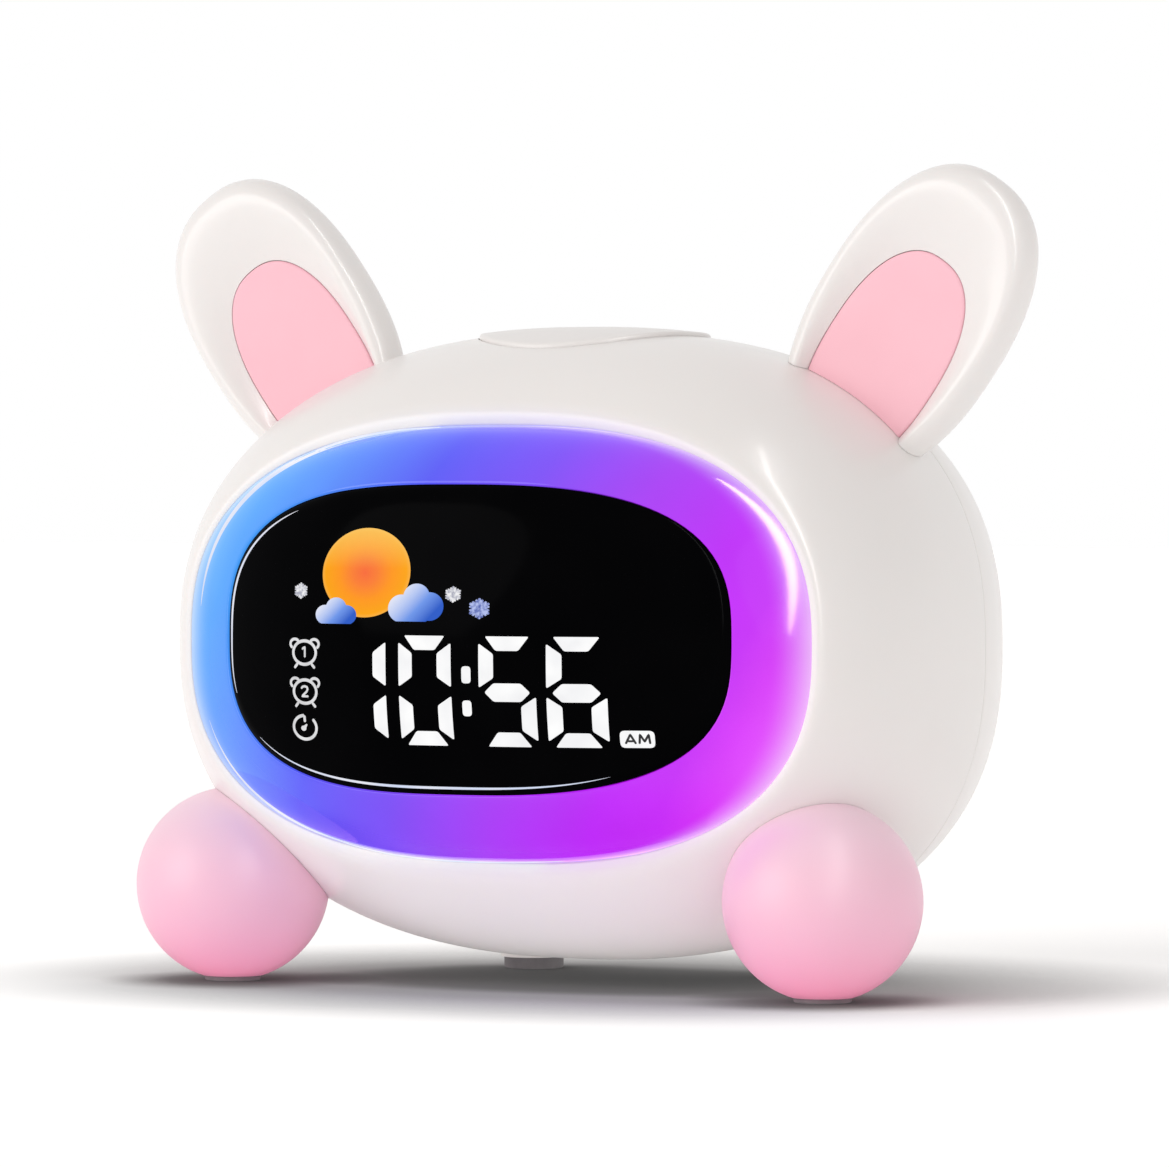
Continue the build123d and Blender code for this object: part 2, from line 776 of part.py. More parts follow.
# ---------------------------------------------------------------- rear keys and their board
with BuildPart() as key_board:
    with BuildSketch(facing(-key_board_depth)):
        with BuildLine():
            Polyline(
                (-key_board_half_width, mid_z + key_board_step),
                (-key_board_half_width, mid_z + key_board_top),
                (key_board_half_width, mid_z + key_board_top),
                (key_board_half_width, mid_z + key_board_low),
                (key_leg_left, mid_z + key_board_low),
                (key_leg_left, mid_z + key_board_step),
                close=True,
            )
        make_face()
        with Locations(*[(x, mid_z + z) for x, z in key_board_screws]):
            Circle(hole_radius, mode=Mode.SUBTRACT)
    extrude(amount=board_wall)
write(key_board, "key_board")

with BuildPart() as key_switches:
    for x, z in key_spots:
        add(tact_switch(Plane(origin=(x, key_board_depth, z), z_dir=(0, 1, 0))))
write(key_switches, "key_switches")

key_names = ("light_key", "alarm_key", "down_key", "up_key", "set_key")
for name, (x, z) in zip(key_names, key_spots):
    back = Plane(origin=(x, key_flange_back, z), z_dir=(0, 1, 0))
    with BuildPart() as key:
        with BuildSketch(back):
            Circle(key_radius)
        extrude(amount=back_depth + key_proud - key_flange_back)
        fillet(key.faces().sort_by(Axis.Y)[-1].edges(), key_round)
        with BuildSketch(back):
            Circle(key_radius + key_flange)
        extrude(amount=-key_flange_wall)
        with BuildSketch(back.offset(-key_flange_wall)):
            Circle(key_stem_radius)
        extrude(amount=-key_stem)
    write(key, name)

with BuildPart() as usb_socket:
    with BuildSketch(facing(-key_board_depth)):
        with Locations((socket_x, mid_z + socket_z)):
            SlotOverall(2 * socket_half_width, 2 * socket_half_height)
    extrude(amount=key_board_depth + socket_recess - back_depth)
    with BuildSketch(facing(socket_recess - back_depth)):
        with Locations((socket_x, mid_z + socket_z)):
            SlotOverall(2 * (socket_half_width - socket_shell),
                        2 * (socket_half_height - socket_shell))
            Rectangle(2 * socket_blade_half_width, 2 * socket_blade_half_height, mode=Mode.SUBTRACT)
    extrude(amount=socket_throat, mode=Mode.SUBTRACT)
write(usb_socket, "usb_socket")

with BuildPart() as speaker:
    with BuildSketch(facing(shell_wall - back_depth)):
        with Locations((speaker_x, mid_z + speaker_z)):
            Circle(speaker_radius)
    extrude(amount=speaker_depth)
    with BuildSketch(facing(shell_wall + speaker_depth - back_depth)):
        with Locations((speaker_x, mid_z + speaker_z)):
            Circle(magnet_radius)
    extrude(amount=magnet_depth)
write(speaker, "speaker")

# ---------------------------------------------------------------- screws
with BuildPart() as cover_screws_set:
    for x, z, length in cover_screw_spots:
        add(screw(Plane(origin=(x, well_floor_depth, z), z_dir=(0, 1, 0)), cover_screw_length))
write(cover_screws_set, "cover_screws")

with BuildPart() as board_screws_set:
    for x, z in board_screws:
        add(screw(Plane(origin=(x, -board_back, z), z_dir=(0, 1, 0)), short_screw_length))
write(board_screws_set, "board_screws")

with BuildPart() as key_screws_set:
    for x, z in key_board_screws:
        seat = Plane(origin=(x, key_board_depth - board_wall, mid_z + z), z_dir=(0, -1, 0))
        add(screw(seat, short_screw_length))
write(key_screws_set, "key_board_screws")

with BuildPart() as crown_screws_set:
    for x in (-post_x, post_x):
        seat = Plane(origin=(x, 0, post_bottom - board_wall), z_dir=(0, 0, -1))
        add(screw(seat, crown_screw_length))
write(crown_screws_set, "crown_board_screws")

with BuildPart() as ear_screws_set:
    for side in (-1, 1):
        add(screw(ear_root(side), short_screw_length))
write(ear_screws_set, "ear_screws")

with BuildPart() as foot_screws_set:
    for side in (-1, 1):
        add(screw(foot_axis(side).offset(peg_length), short_screw_length))
write(foot_screws_set, "foot_screws")
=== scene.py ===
# %% [markdown]
# # Rabbit-eared alarm clock with a night light
#
# The real clock is a white moulded pebble with two padded ears, two ball feet, a glowing ring
# round a dark window and a round push button on its crown. Everything that shows is a smooth
# surface, so each piece here is worked out as a formula on a grid of points, in millimetres.
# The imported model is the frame: it says where every piece sits, and it moves the buttons.

# %% Load the frame
import json
import math

import bmesh
import bpy
import numpy as np
from mathutils import Matrix, Vector

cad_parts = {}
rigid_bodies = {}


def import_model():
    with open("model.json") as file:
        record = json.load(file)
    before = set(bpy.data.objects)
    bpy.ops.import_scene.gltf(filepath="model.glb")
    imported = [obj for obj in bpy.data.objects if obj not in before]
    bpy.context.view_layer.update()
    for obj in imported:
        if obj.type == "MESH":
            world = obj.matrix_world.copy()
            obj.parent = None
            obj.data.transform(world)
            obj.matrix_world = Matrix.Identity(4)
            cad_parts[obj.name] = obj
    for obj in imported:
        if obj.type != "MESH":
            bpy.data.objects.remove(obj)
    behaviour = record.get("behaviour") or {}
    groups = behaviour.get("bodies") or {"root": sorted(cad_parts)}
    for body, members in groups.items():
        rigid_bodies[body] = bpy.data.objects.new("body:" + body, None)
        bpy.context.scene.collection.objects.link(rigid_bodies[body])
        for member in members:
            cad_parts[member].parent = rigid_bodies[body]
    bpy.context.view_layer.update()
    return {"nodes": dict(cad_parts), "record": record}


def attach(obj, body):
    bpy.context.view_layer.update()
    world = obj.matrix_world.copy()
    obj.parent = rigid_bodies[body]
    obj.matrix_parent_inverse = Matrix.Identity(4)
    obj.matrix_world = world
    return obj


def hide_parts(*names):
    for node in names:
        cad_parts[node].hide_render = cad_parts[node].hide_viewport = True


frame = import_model()

# %% [markdown]
# ## Sizes
#
# The body is a stack of ovals that taper to the front and to the rear. An oval here is a
# superellipse: power 2 is an ellipse, and a higher power is squarer. Depth is y, and y grows
# towards the rear of the clock.

# %% Sizes of the case, in millimetres
MM = 0.001
body_half_width = 67.8
body_half_height = 51.4
body_power = 2.42
belly_gap = 3.9
flank_front_reach = 51.3
crown_front_reach = 46.6
rear_reach = 53.6
flank_power = 2.45
crown_power = 2.0
face_depth = 31.8
face_rise = 0.85
back_depth = 48.0
seam_depth = 9.6
shell_wall = 2.2
lip_depth = 2.5
middle_z = belly_gap + body_half_height
face_z = middle_z + face_rise
crown_z = middle_z + body_half_height
fit_gap = 0.1
slide_gap = 0.25
print("body:", 2 * body_half_width, "mm wide and", round(crown_z, 2), "mm high")

# %% [markdown]
# ## From formula to mesh
#
# A grid of points becomes a mesh when every four neighbours make one face. Rows may close on
# themselves, as round a foot, and a row may shrink to a point, as at a pole. Merging the points
# that meet closes both, and then the faces can be turned outwards.

# %% A grid becomes a mesh
merge_distance = 1e-6
nearly_zero = 1e-4
crease_degrees = 32


def shade(mesh):
    """Smooth shading, with a hard edge where two faces meet at more than the crease angle."""
    mesh.shade_smooth()
    mesh.set_sharp_from_angle(angle=math.radians(crease_degrees))
    return mesh


def skin(name, grid, wrap_rows=False):
    """Mesh of a grid of points in millimetres: rows of columns, and each row closes on itself."""
    rows, columns = grid.shape[:2]
    index = np.arange(rows * columns).reshape(rows, columns)
    if wrap_rows:
        index = np.vstack([index, index[:1]])
    index = np.hstack([index, index[:, :1]])
    faces = np.stack([index[:-1, :-1], index[:-1, 1:], index[1:, 1:], index[1:, :-1]], axis=-1)
    mesh = bpy.data.meshes.new(name)
    mesh.from_pydata((grid * MM).reshape(-1, 3).tolist(), [], faces.reshape(-1, 4).tolist())
    work = bmesh.new()
    work.from_mesh(mesh)
    bmesh.ops.remove_doubles(work, verts=work.verts, dist=merge_distance)
    bmesh.ops.recalc_face_normals(work, faces=work.faces)
    work.to_mesh(mesh)
    work.free()
    return shade(mesh)


def gather(name, meshes):
    """One mesh that holds several, side by side."""
    work = bmesh.new()
    for mesh in meshes:
        work.from_mesh(mesh)
    gathered = bpy.data.meshes.new(name)
    work.to_mesh(gathered)
    work.free()
    return shade(gathered)


# %% [markdown]
# Holes and cut ends come from booleans: one closed mesh is taken away from another, or joined
# to it. The exact solver keeps the smooth surface beside the cut as it was, and the modifier is
# applied at once, so that the piece is a plain mesh.

# %% Booleans and pieces
def combine(mesh, tool_mesh, operation="DIFFERENCE"):
    """Mesh of one closed mesh with another cut from it or joined to it."""
    objects = [bpy.data.objects.new(part.name, part) for part in (mesh, tool_mesh)]
    for temporary in objects:
        bpy.context.scene.collection.objects.link(temporary)
    change = objects[0].modifiers.new("combine", "BOOLEAN")
    change.operation = operation
    change.solver = "EXACT"
    change.object = objects[1]
    graph = bpy.context.evaluated_depsgraph_get()
    result = bpy.data.meshes.new_from_object(objects[0].evaluated_get(graph))
    for temporary in objects:
        bpy.data.objects.remove(temporary)
    return shade(result)


def piece(name, mesh, finish, body="case", stands_for=()):
    """Object for a finished mesh: its material, the body it rides on and the nodes it shows."""
    mesh.name = name
    mesh.materials.clear()
    mesh.materials.append(finish)
    made = bpy.data.objects.new(name, mesh)
    bpy.context.scene.collection.objects.link(made)
    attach(made, body)
    if stands_for:
        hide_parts(*stands_for)
    print(f"{name}: {len(mesh.polygons)} faces")
    return made


# %% [markdown]
# ## Curves that the pieces share
#
# An oval is measured from its middle: in a direction that turns round it, the edge lies at one
# over the power-th root of (|cos| / half width)^power + (|sin| / half height)^power. This keeps
# the points evenly spread, which the usual cos and sin powers don't. A row of numbers holds one
# oval, so that rows can be mixed and bent like points.

# %% Ovals, bends and turned forms
columns = 192
turns = np.linspace(0, 2 * np.pi, columns, endpoint=False)


def points(*coordinates):
    """Points from their separate coordinates, of which some may be plain numbers."""
    return np.stack(np.broadcast_arrays(*coordinates), axis=-1)


def oval_reach(turn, half_width, half_height, power):
    """Distance from an oval's middle to its edge, in the direction of a turn."""
    across = (np.abs(np.cos(turn)) / half_width) ** power
    upright = (np.abs(np.sin(turn)) / half_height) ** power
    return (across + upright) ** (-1 / power)


def oval_grid(rows):
    """Grid of points of a stack of ovals: half width, half height, power, middle z and depth."""
    half_width, half_height, power, middle, depth = (column[:, None] for column in rows.T)
    reach = oval_reach(turns, half_width, half_height, power)
    return points(reach * np.cos(turns), depth, middle + reach * np.sin(turns))


def mix(start, end, shares):
    """Rows between two rows or points, at shares of the way from the first to the second."""
    shares = np.asarray(shares, float).reshape((-1,) + (1,) * np.ndim(start))
    return start + (end - start) * shares


def bend(start, corner, end, steps):
    """Quadratic curve that rounds a corner: it leaves along one side and arrives along another."""
    way = np.linspace(0, 1, steps + 1)
    leaving, arriving = mix(start, corner, way), mix(corner, end, way)
    return leaving + (arriving - leaving) * way.reshape((-1,) + (1,) * np.ndim(start))


def turned(profile, centre, axis, around=64):
    """Grid of a form turned on a lathe: each row of the profile is a place along the axis and a
    radius, and the point goes round the axis at that radius."""
    axis = np.array(Vector(axis).normalized())
    side = np.array(Vector(axis).orthogonal().normalized())
    other = np.cross(axis, side)
    turn = np.linspace(0, 2 * np.pi, around, endpoint=False)
    place, radius = np.asarray(profile, float).T[:, :, None, None]
    ring = np.cos(turn)[:, None] * side + np.sin(turn)[:, None] * other
    return np.asarray(centre, float) + place * axis + radius * ring


def rod(name, centre, axis, radius, length, around=64):
    """Mesh of a plain round rod, used to cut holes."""
    profile = [(0, 0), (0, radius), (length, radius), (length, 0)]
    return skin(name, turned(profile, centre, axis, around))


# %% [markdown]
# The body could be a sphere that is scaled and pushed about, but then its flanks and its crown
# would bend alike. Here each depth has its own oval: one taper gives its width and another its
# height, so the body can be blunt from the side and rounder from above.

# %% The body's cross-sections
def taper(y, reach, power):
    """Share of the full size left at depth y: the power-th root of 1 - (|y| / reach)^power."""
    return np.clip(1 - (np.abs(y) / reach) ** power, 0, None) ** (1 / power)


def body_rows(y, inset=0.0):
    """Ovals of the body at some depths, its surface moved in by an inset."""
    y = np.atleast_1d(np.asarray(y, float))
    front = y < 0
    rear = taper(y, rear_reach - inset, flank_power)
    across = np.where(front, taper(y, flank_front_reach - inset, flank_power), rear)
    upright = np.where(front, taper(y, crown_front_reach - inset, crown_power), rear)
    middle = middle_z + np.where(front, face_rise * (y / face_depth) ** 2, 0)
    return np.column_stack([
        (body_half_width - inset) * across, (body_half_height - inset) * upright,
        np.full_like(y, body_power), middle, y,
    ])


def body_depths(start, end, steps):
    """Depths between two, closer together where the body curves more: reach times a sine."""
    return rear_reach * np.sin(
        np.linspace(math.asin(start / rear_reach), math.asin(end / rear_reach), steps)
    )


def pole(row):
    """The same oval shrunk to a point."""
    return row * [0, 0, 1, 1, 1] + [nearly_zero, nearly_zero, 0, 0, 0]


def shrunk(row, shares):
    """The same oval at shares of its size."""
    return mix(pole(row), row, shares)


def body_solid(inset):
    """Closed form of the whole body: it cuts what meets the body to the body's surface."""
    rows = body_rows(body_depths(-face_depth, back_depth, 90), inset)
    rows = np.concatenate([[pole(rows[0])], rows, [pole(rows[-1])]])
    return skin("body_solid", oval_grid(rows))


# %% [markdown]
# ## Front shell
#
# Moulded ABS, 2.2 mm thick, with a polished outside. A Solidify modifier could give it its wall,
# but the soft rim and the lip at the opening would still be missing, so the wall's whole profile
# is worked out. It runs over the outside, round the rim, through the opening and back along the
# inner wall to the seam, where it closes.

# %% Front shell
outer_rows = 60
inner_rows = 40
seam_round = 0.35
rim_round = 1.6
lip_round = 0.35
rim_bend_end = 0.5
lip_bend_start = 0.85
ring_half_width = 56.4
ring_half_height = 34.9
ring_power = 2.53
opening = np.array([
    ring_half_width + fit_gap, ring_half_height + fit_gap, ring_power, face_z, -face_depth,
])


def seam_bend(direction):
    """Small round at the seam, from the meeting face to the outer surface."""
    return bend(
        body_rows(seam_depth, seam_round)[0], body_rows(seam_depth)[0],
        body_rows(seam_depth + direction * seam_round)[0], 4,
    )


def front_shell_rows():
    """Ovals of the front shell, in one closed loop from the seam and back to it."""
    rim = body_rows(-face_depth)[0]
    backwards = np.array([0, 0, 0, 0, 1.0])
    rim_end, lip_start = mix(rim, opening, [rim_bend_end, lip_bend_start])
    inner_depths = body_depths(-face_depth + lip_depth, seam_depth, inner_rows)
    return np.concatenate([
        seam_bend(-1),
        body_rows(body_depths(seam_depth - seam_round, rim_round - face_depth, outer_rows))[1:-1],
        bend(body_rows(rim_round - face_depth)[0], rim, rim_end, 10),
        bend(lip_start, opening, opening + backwards * lip_round, 4),
        [opening + backwards * lip_depth],
        body_rows(inner_depths, shell_wall),
    ])


front_mesh = skin("front_shell_skin", oval_grid(front_shell_rows()), wrap_rows=True)
print("front shell:", len(front_mesh.vertices), "points")

# %% [markdown]
# ## Rear cover
#
# The same body from the seam to a flat panel, whose edge is rounded. Posts run from the seam to
# the outside round the four screw wells, and two stubs carry the rear pads.

# %% Rear cover
panel_round = 2.4
panel_bend_end = 0.93
well_radius = 2.9
well_floor = 15.0
post_radius = 4.2
post_cover = 0.8
stub_radius = 5.6
stub_x = 24.0
stub_y = 26.0
pad_wall = 2.0
cover_screw_spots = [
    (side * x, middle_z + z) for side in (-1, 1) for x, z in ((36.0, 40.3), (46.0, -35.2))
]


def rear_cover_rows():
    """Ovals of the rear cover, in one closed loop from the seam and back to it."""
    edge = body_rows(back_depth)[0]
    inner = body_rows(back_depth - shell_wall, shell_wall)[0]
    panel_start = back_depth - panel_round
    panel_end = shrunk(edge, [panel_bend_end])[0]
    return np.concatenate([
        seam_bend(1),
        body_rows(body_depths(seam_depth + seam_round, panel_start, outer_rows))[1:-1],
        bend(body_rows(panel_start)[0], edge, panel_end, 12),
        shrunk(edge, [0.8, 0.6, 0.4, 0.2, 0]),
        shrunk(inner, [0, 0.25, 0.5, 0.75]),
        body_rows(body_depths(back_depth - shell_wall, seam_depth, inner_rows), shell_wall),
    ])


def rear_posts():
    """Screw posts and pad stubs, which the cover is joined with."""
    made = []
    core = body_solid(post_cover)
    for x, z in cover_screw_spots:
        post = rod("post", (x, seam_depth, z), (0, 1, 0), post_radius, back_depth)
        made.append(combine(post, core, "INTERSECT"))
    belly = middle_z - body_half_height * float(taper(stub_y, rear_reach, flank_power))
    for side in (-1, 1):
        made.append(rod("stub", (side * stub_x, stub_y, pad_wall), (0, 0, 1), stub_radius, belly))
    return made


rear_mesh = skin("rear_cover_skin", oval_grid(rear_cover_rows()), wrap_rows=True)
for post in rear_posts():
    rear_mesh = combine(rear_mesh, post, "UNION")
print("rear cover:", len(rear_mesh.vertices), "points")

# %% [markdown]
# The top button drops through one round hole that both shells share. The rear panel has a hole
# for each key, a slot for the charging socket, the screw wells and a rosette of small holes for
# the speaker.

# %% Holes in the shells
cap_radius = 19.0
cap_y = 2.8
cap_skirt = 6.0
cap_columns = 128
key_radius = 3.5
key_pitch = 11.0
key_z = middle_z + 13.0
key_names = ["light_key", "alarm_key", "down_key", "up_key", "set_key"]
key_x = {name: (step - 2) * key_pitch for step, name in enumerate(key_names)}
socket_x = 22.0
socket_z = middle_z - 9.0
socket_half_width = 4.5
socket_half_height = 1.65
speaker_x = -12.0
speaker_z = middle_z - 10.0
grille_rings = 3
grille_pitch = 3.2
grille_hole = 0.9
grille_columns = 20
holes_per_ring = 6


def slot_ring(depth, half_width, half_height, around=48):
    """Outline of a slot with round ends: the ends' middles are moved apart along x."""
    turn = np.linspace(0, 2 * np.pi, around, endpoint=False)
    shift = np.where(np.abs(np.cos(turn)) < nearly_zero, 0, np.sign(np.cos(turn)))
    x = half_height * np.cos(turn) + shift * (half_width - half_height)
    return points(socket_x + x, depth, socket_z + half_height * np.sin(turn))


cap_cutter = rod(
    "cap_hole", (0, cap_y, crown_z - cap_skirt - shell_wall), (0, 0, 1),
    cap_radius + slide_gap, 4 * cap_skirt, cap_columns,
)
front_mesh = combine(front_mesh, cap_cutter)
rear_mesh = combine(rear_mesh, cap_cutter)

rear_cutters = []
through = 3 * shell_wall
for x in key_x.values():
    rear_cutters.append(rod("key_hole", (x, back_depth - through, key_z), (0, 1, 0),
                            key_radius + slide_gap, 2 * through))
for ring in range(grille_rings + 1):
    count = max(1, holes_per_ring * ring)
    for step in range(count):
        turn = 2 * math.pi * step / count
        spot = (
            speaker_x + ring * grille_pitch * math.cos(turn), back_depth - through,
            speaker_z + ring * grille_pitch * math.sin(turn),
        )
        rear_cutters.append(
            rod("grille_hole", spot, (0, 1, 0), grille_hole, 2 * through, grille_columns)
        )
for x, z in cover_screw_spots:
    rear_cutters.append(rod("well", (x, well_floor, z), (0, 1, 0), well_radius, back_depth))
point = (nearly_zero, nearly_zero)
slot = (socket_half_width + slide_gap, socket_half_height + slide_gap)
rear_cutters.append(skin("socket_hole", np.stack([
    slot_ring(back_depth + side * through, *half_sizes)
    for side, half_sizes in ((-1, point), (-1, slot), (1, slot), (1, point))
])))
rear_mesh = combine(rear_mesh, gather("rear_cutters", rear_cutters))
print("rear cover after cutting:", len(rear_mesh.vertices), "points")

# %% [markdown]
# ## Light ring and window
#
# Both are one shallow dome. Seen from above it is an arc of a large circle, and seen from the
# side it is a flattened oval, so each section of the dome is an oval whose width follows the
# circle and whose height follows the flattened oval. The window is the part of the dome inside
# an oval outline, and the ring is the rest.

# %% The dome
dome_height = 17.8
dome_radius = 97.0
crown_bend = 2.2
window_half_width = 45.6
window_half_height = 24.6
window_power = 2.84
window_z = face_z + 0.95
window_wall = 2.0
ring_wall = 3.2
ring_flange = 0.6
flange_wall = 1.6
ledge_width = 1.3
halvings = 40


def dome_sizes(share, inset=0.0):
    """Half width and half height of the dome where a share of its height is reached."""
    height = dome_height - inset
    radius = dome_radius - inset
    left = height * (1 - share)
    full_width = math.sqrt(2 * radius * height - height**2)
    half_width = np.sqrt(2 * radius * left - left**2) / full_width * (ring_half_width - inset)
    half_height = (ring_half_height - inset) * (1 - share**crown_bend) ** (1 / crown_bend)
    return half_width, half_height


def dome_points(share, inset=0.0):
    """Points of the dome at shares of its height, one column for each turn round its middle."""
    half_width, half_height = dome_sizes(share, inset)
    reach = oval_reach(turns, half_width, half_height, ring_power)
    depth = -(face_depth + share * (dome_height - inset))
    return points(reach * np.cos(turns), depth, face_z + reach * np.sin(turns))


def dome_depth(x, z, inset=0.0):
    """Depth of the dome over flat spots: halving finds the section whose oval meets the spot."""
    low, high = np.zeros_like(x), np.ones_like(x)
    for _ in range(halvings):
        share = (low + high) / 2
        half_width, half_height = dome_sizes(share, inset)
        outside = (
            (np.abs(x) / half_width) ** ring_power
            + (np.abs(z - face_z) / half_height) ** ring_power
        ) > 1
        low, high = np.where(outside, low, share), np.where(outside, share, high)
    return -(face_depth + low * (dome_height - inset))


def rim_share(grow, inset=0.0):
    """Share of its height at which the dome meets the window's outline, grown by a margin."""
    low, high = np.zeros(columns), np.ones(columns)
    for _ in range(halvings):
        share = (low + high) / 2
        point = dome_points(share, inset)
        across = np.abs(point[..., 0]) / (window_half_width + grow)
        upright = np.abs(point[..., 2] - window_z) / (window_half_height + grow)
        outside = across**window_power + upright**window_power > 1
        low, high = np.where(outside, share, low), np.where(outside, high, share)
    return low


def sunk(surface, inset):
    """The same flat spots, on the dome moved in by an inset."""
    return points(surface[..., 0], dome_depth(surface[..., 0], surface[..., 2], inset), surface[..., 2])


# %% [markdown]
# The ring is moulded in milky polycarbonate that spreads the light of the diodes behind it. The
# profile runs over the dome to the window, down into the pocket that holds the window, along the
# ledge behind the window's edge and back inside to the flange that the shell clamps.

# %% Light ring
ring_round = 0.5
ring_steps = 44
inside_steps = 24


def ring_grid():
    """Grid of the light ring: its outside from the base to the window, then back inside it."""
    back = np.array([0, 1.0, 0])
    way = np.linspace(0, 1, ring_steps)
    outside = [dome_points(share * rim_share(fit_gap + ring_round)) for share in way[:-1]]
    corner = dome_points(rim_share(fit_gap))
    last = dome_points(rim_share(fit_gap + ring_round))
    ledge = dome_points(rim_share(-ledge_width))
    start = rim_share(-ledge_width, ring_wall)
    inside = mix(start, np.zeros(columns), np.linspace(0, 1, inside_steps))
    flange_front = lip_depth * back
    flange_back = (lip_depth + flange_wall) * back
    base = dome_points(np.zeros(columns))
    flange = oval_grid(opening[None] + [ring_flange, ring_flange, 0, 0, 0])[0]
    inner_base = dome_points(np.zeros(columns), ring_wall)
    return np.concatenate([
        outside,
        bend(last, corner, corner + ring_round * back, 4),
        [sunk(corner, window_wall), sunk(ledge, window_wall)],
        dome_points(inside, ring_wall),
        [inner_base + flange_back, flange + flange_back, flange + flange_front],
        [base + flange_front],
    ])


ring_mesh = skin("light_ring_skin", ring_grid(), wrap_rows=True)
print("light ring:", len(ring_mesh.vertices), "points")

# %% [markdown]
# The window is moulded in smoked acrylic and polished. Its edge falls away in a narrow bevel, so
# that it meets the ring in a soft dip. Two grids that share the dome's formula make its front and
# its back, and the bevel joins them.

# %% Display window
bevel_width = 1.7
bevel_drop = 0.55
bevel_fullness = 0.98
bevel_steps = 8
front_steps = 40
back_steps = 24
almost_one = 1 - 1e-12


def window_grid():
    """Grid of the window: from the middle of its front over the bevel, and round to its back.
    The bevel falls like a quarter of an ellipse, by 1 less the root of 1 - across^2."""
    def face(inset, grow, steps):
        closeness = np.linspace(1, 0, steps)[:, None] ** 2
        return dome_points(almost_one - closeness * (almost_one - rim_share(grow, inset)), inset)

    across = np.linspace(0, 1, bevel_steps + 1)[1:]
    bevel = np.stack([dome_points(rim_share(-bevel_width * (1 - share))) for share in across])
    bevel[..., 1] += bevel_drop * (1 - np.sqrt(1 - bevel_fullness * across**2))[:, None]
    return np.concatenate([
        face(0.0, -bevel_width, front_steps)[::-1], bevel, face(window_wall, 0.0, back_steps),
    ])


window_mesh = skin("display_window_skin", window_grid())
print("window:", len(window_mesh.vertices), "points")

# %% [markdown]
# ## Ears
#
# Each ear is a padded oval slab with a hollow front. The points of its front run from the edge
# of the hollow's floor to the ear's outline, and their height rises like a bowl to a crest and
# then rolls off round the rim. The right ear is made in its own plane, and the left one is its
# mirror image.

# %% Ears
ear_x = 57.7
ear_y = 2.8
ear_z = middle_z + 52.9
ear_lean = math.radians(35.5)
ear_half_width = 16.7
ear_half_length = 26.8
ear_power = 2.35
ear_half_wall = 4.5
ear_roll = 4.2
roll_limit = 0.62
floor_height = 1.5
bowl_start = 2.3
panel_height = 2.5
panel_edge = 0.45
insert_half_width = 10.6
insert_half_length = 18.9
insert_drop = -7.7
back_power = 6
rise_steps = 20
roll_steps = 13
back_rows = 23


def ear_outline(half_width, half_length, drop=0.0):
    """Oval in the ear's own plane, as points across, along and in front of it."""
    reach = oval_reach(turns, half_width, half_length, ear_power)
    return points(reach * np.cos(turns), drop + reach * np.sin(turns), 0.0)


def ear_place(grid, side):
    """Points of an ear's plane put on the clock: across leans down, along leans outwards."""
    across = np.array([math.cos(ear_lean), 0, -math.sin(ear_lean)])
    along = np.array([math.sin(ear_lean), 0, math.cos(ear_lean)])
    front = np.array([0, -1.0, 0])
    placed = np.array([ear_x, ear_y, ear_z]) + grid @ np.stack([across, along, front])
    return placed * [side, 1, 1]


def ear_grid():
    """Grid of an ear: hollow floor, bowl, rolled rim, and a back that swells like a pillow. The
    bowl rises by a sine to its crest, and the rim falls from it by a cosine."""
    up = np.array([0, 0, 1.0])
    outline = ear_outline(ear_half_width, ear_half_length)
    hollow = ear_outline(insert_half_width + fit_gap, insert_half_length + fit_gap, insert_drop)
    hollow_middle = np.array([0, insert_drop, floor_height])
    gap = np.linalg.norm(outline - hollow, axis=-1)
    crest = 1 - np.minimum(ear_roll / gap, roll_limit)
    rise = np.linspace(0, 1, rise_steps)[:, None]
    bowl = hollow + (outline - hollow) * (rise * crest)[..., None]
    height = bowl_start + (ear_half_wall - bowl_start) * np.sin(np.pi / 2 * rise)
    bowl = bowl + up * height[..., None]
    roll = np.linspace(0, np.pi / 2, roll_steps + 1)[1:, None]
    rim = hollow + (outline - hollow) * (crest + (1 - crest) * np.sin(roll))[..., None]
    rim = rim + up * (ear_half_wall * np.cos(roll))[..., None]
    share = np.sin(np.linspace(np.pi / 2, 0, back_rows + 1))[1:, None, None]
    back = outline * share - up * ear_half_wall * np.sqrt(1 - share**back_power)
    return np.concatenate([
        [hollow_middle + 0 * outline, hollow + up * floor_height], bowl, rim, back,
    ])


def insert_grid():
    """Grid of the pink panel: its back, its rounded edge and its front."""
    up = np.array([0, 0, 1.0])
    middle = np.array([0, insert_drop, 0])
    outline, smaller = (
        ear_outline(insert_half_width - inset, insert_half_length - inset, insert_drop)
        for inset in (0, panel_edge)
    )
    top = outline + up * panel_height
    return np.concatenate([
        [middle + up * floor_height + 0 * outline, outline + up * floor_height],
        bend(outline + up * (panel_height - panel_edge), top, smaller + up * panel_height, 5),
        mix(smaller, middle + 0 * smaller, [0.3, 0.6, 1]) + up * panel_height,
    ])


seat_gap = 0.05
seat = body_solid(-seat_gap)
ear_meshes = {}
for hand, side in (("left", -1), ("right", 1)):
    ear_meshes[hand] = (
        combine(skin("ear", ear_place(ear_grid(), side)), seat),
        combine(skin("insert", ear_place(insert_grid(), side)), seat),
    )
    print(hand, "ear:", [len(mesh.vertices) for mesh in ear_meshes[hand]], "points")

# %% [markdown]
# ## Feet and pads
#
# The ball feet are turned forms with a small flat below for a rubber pad, cut where they meet
# the body. A ready-made sphere would do for the ball, but not for the flat and the cut.

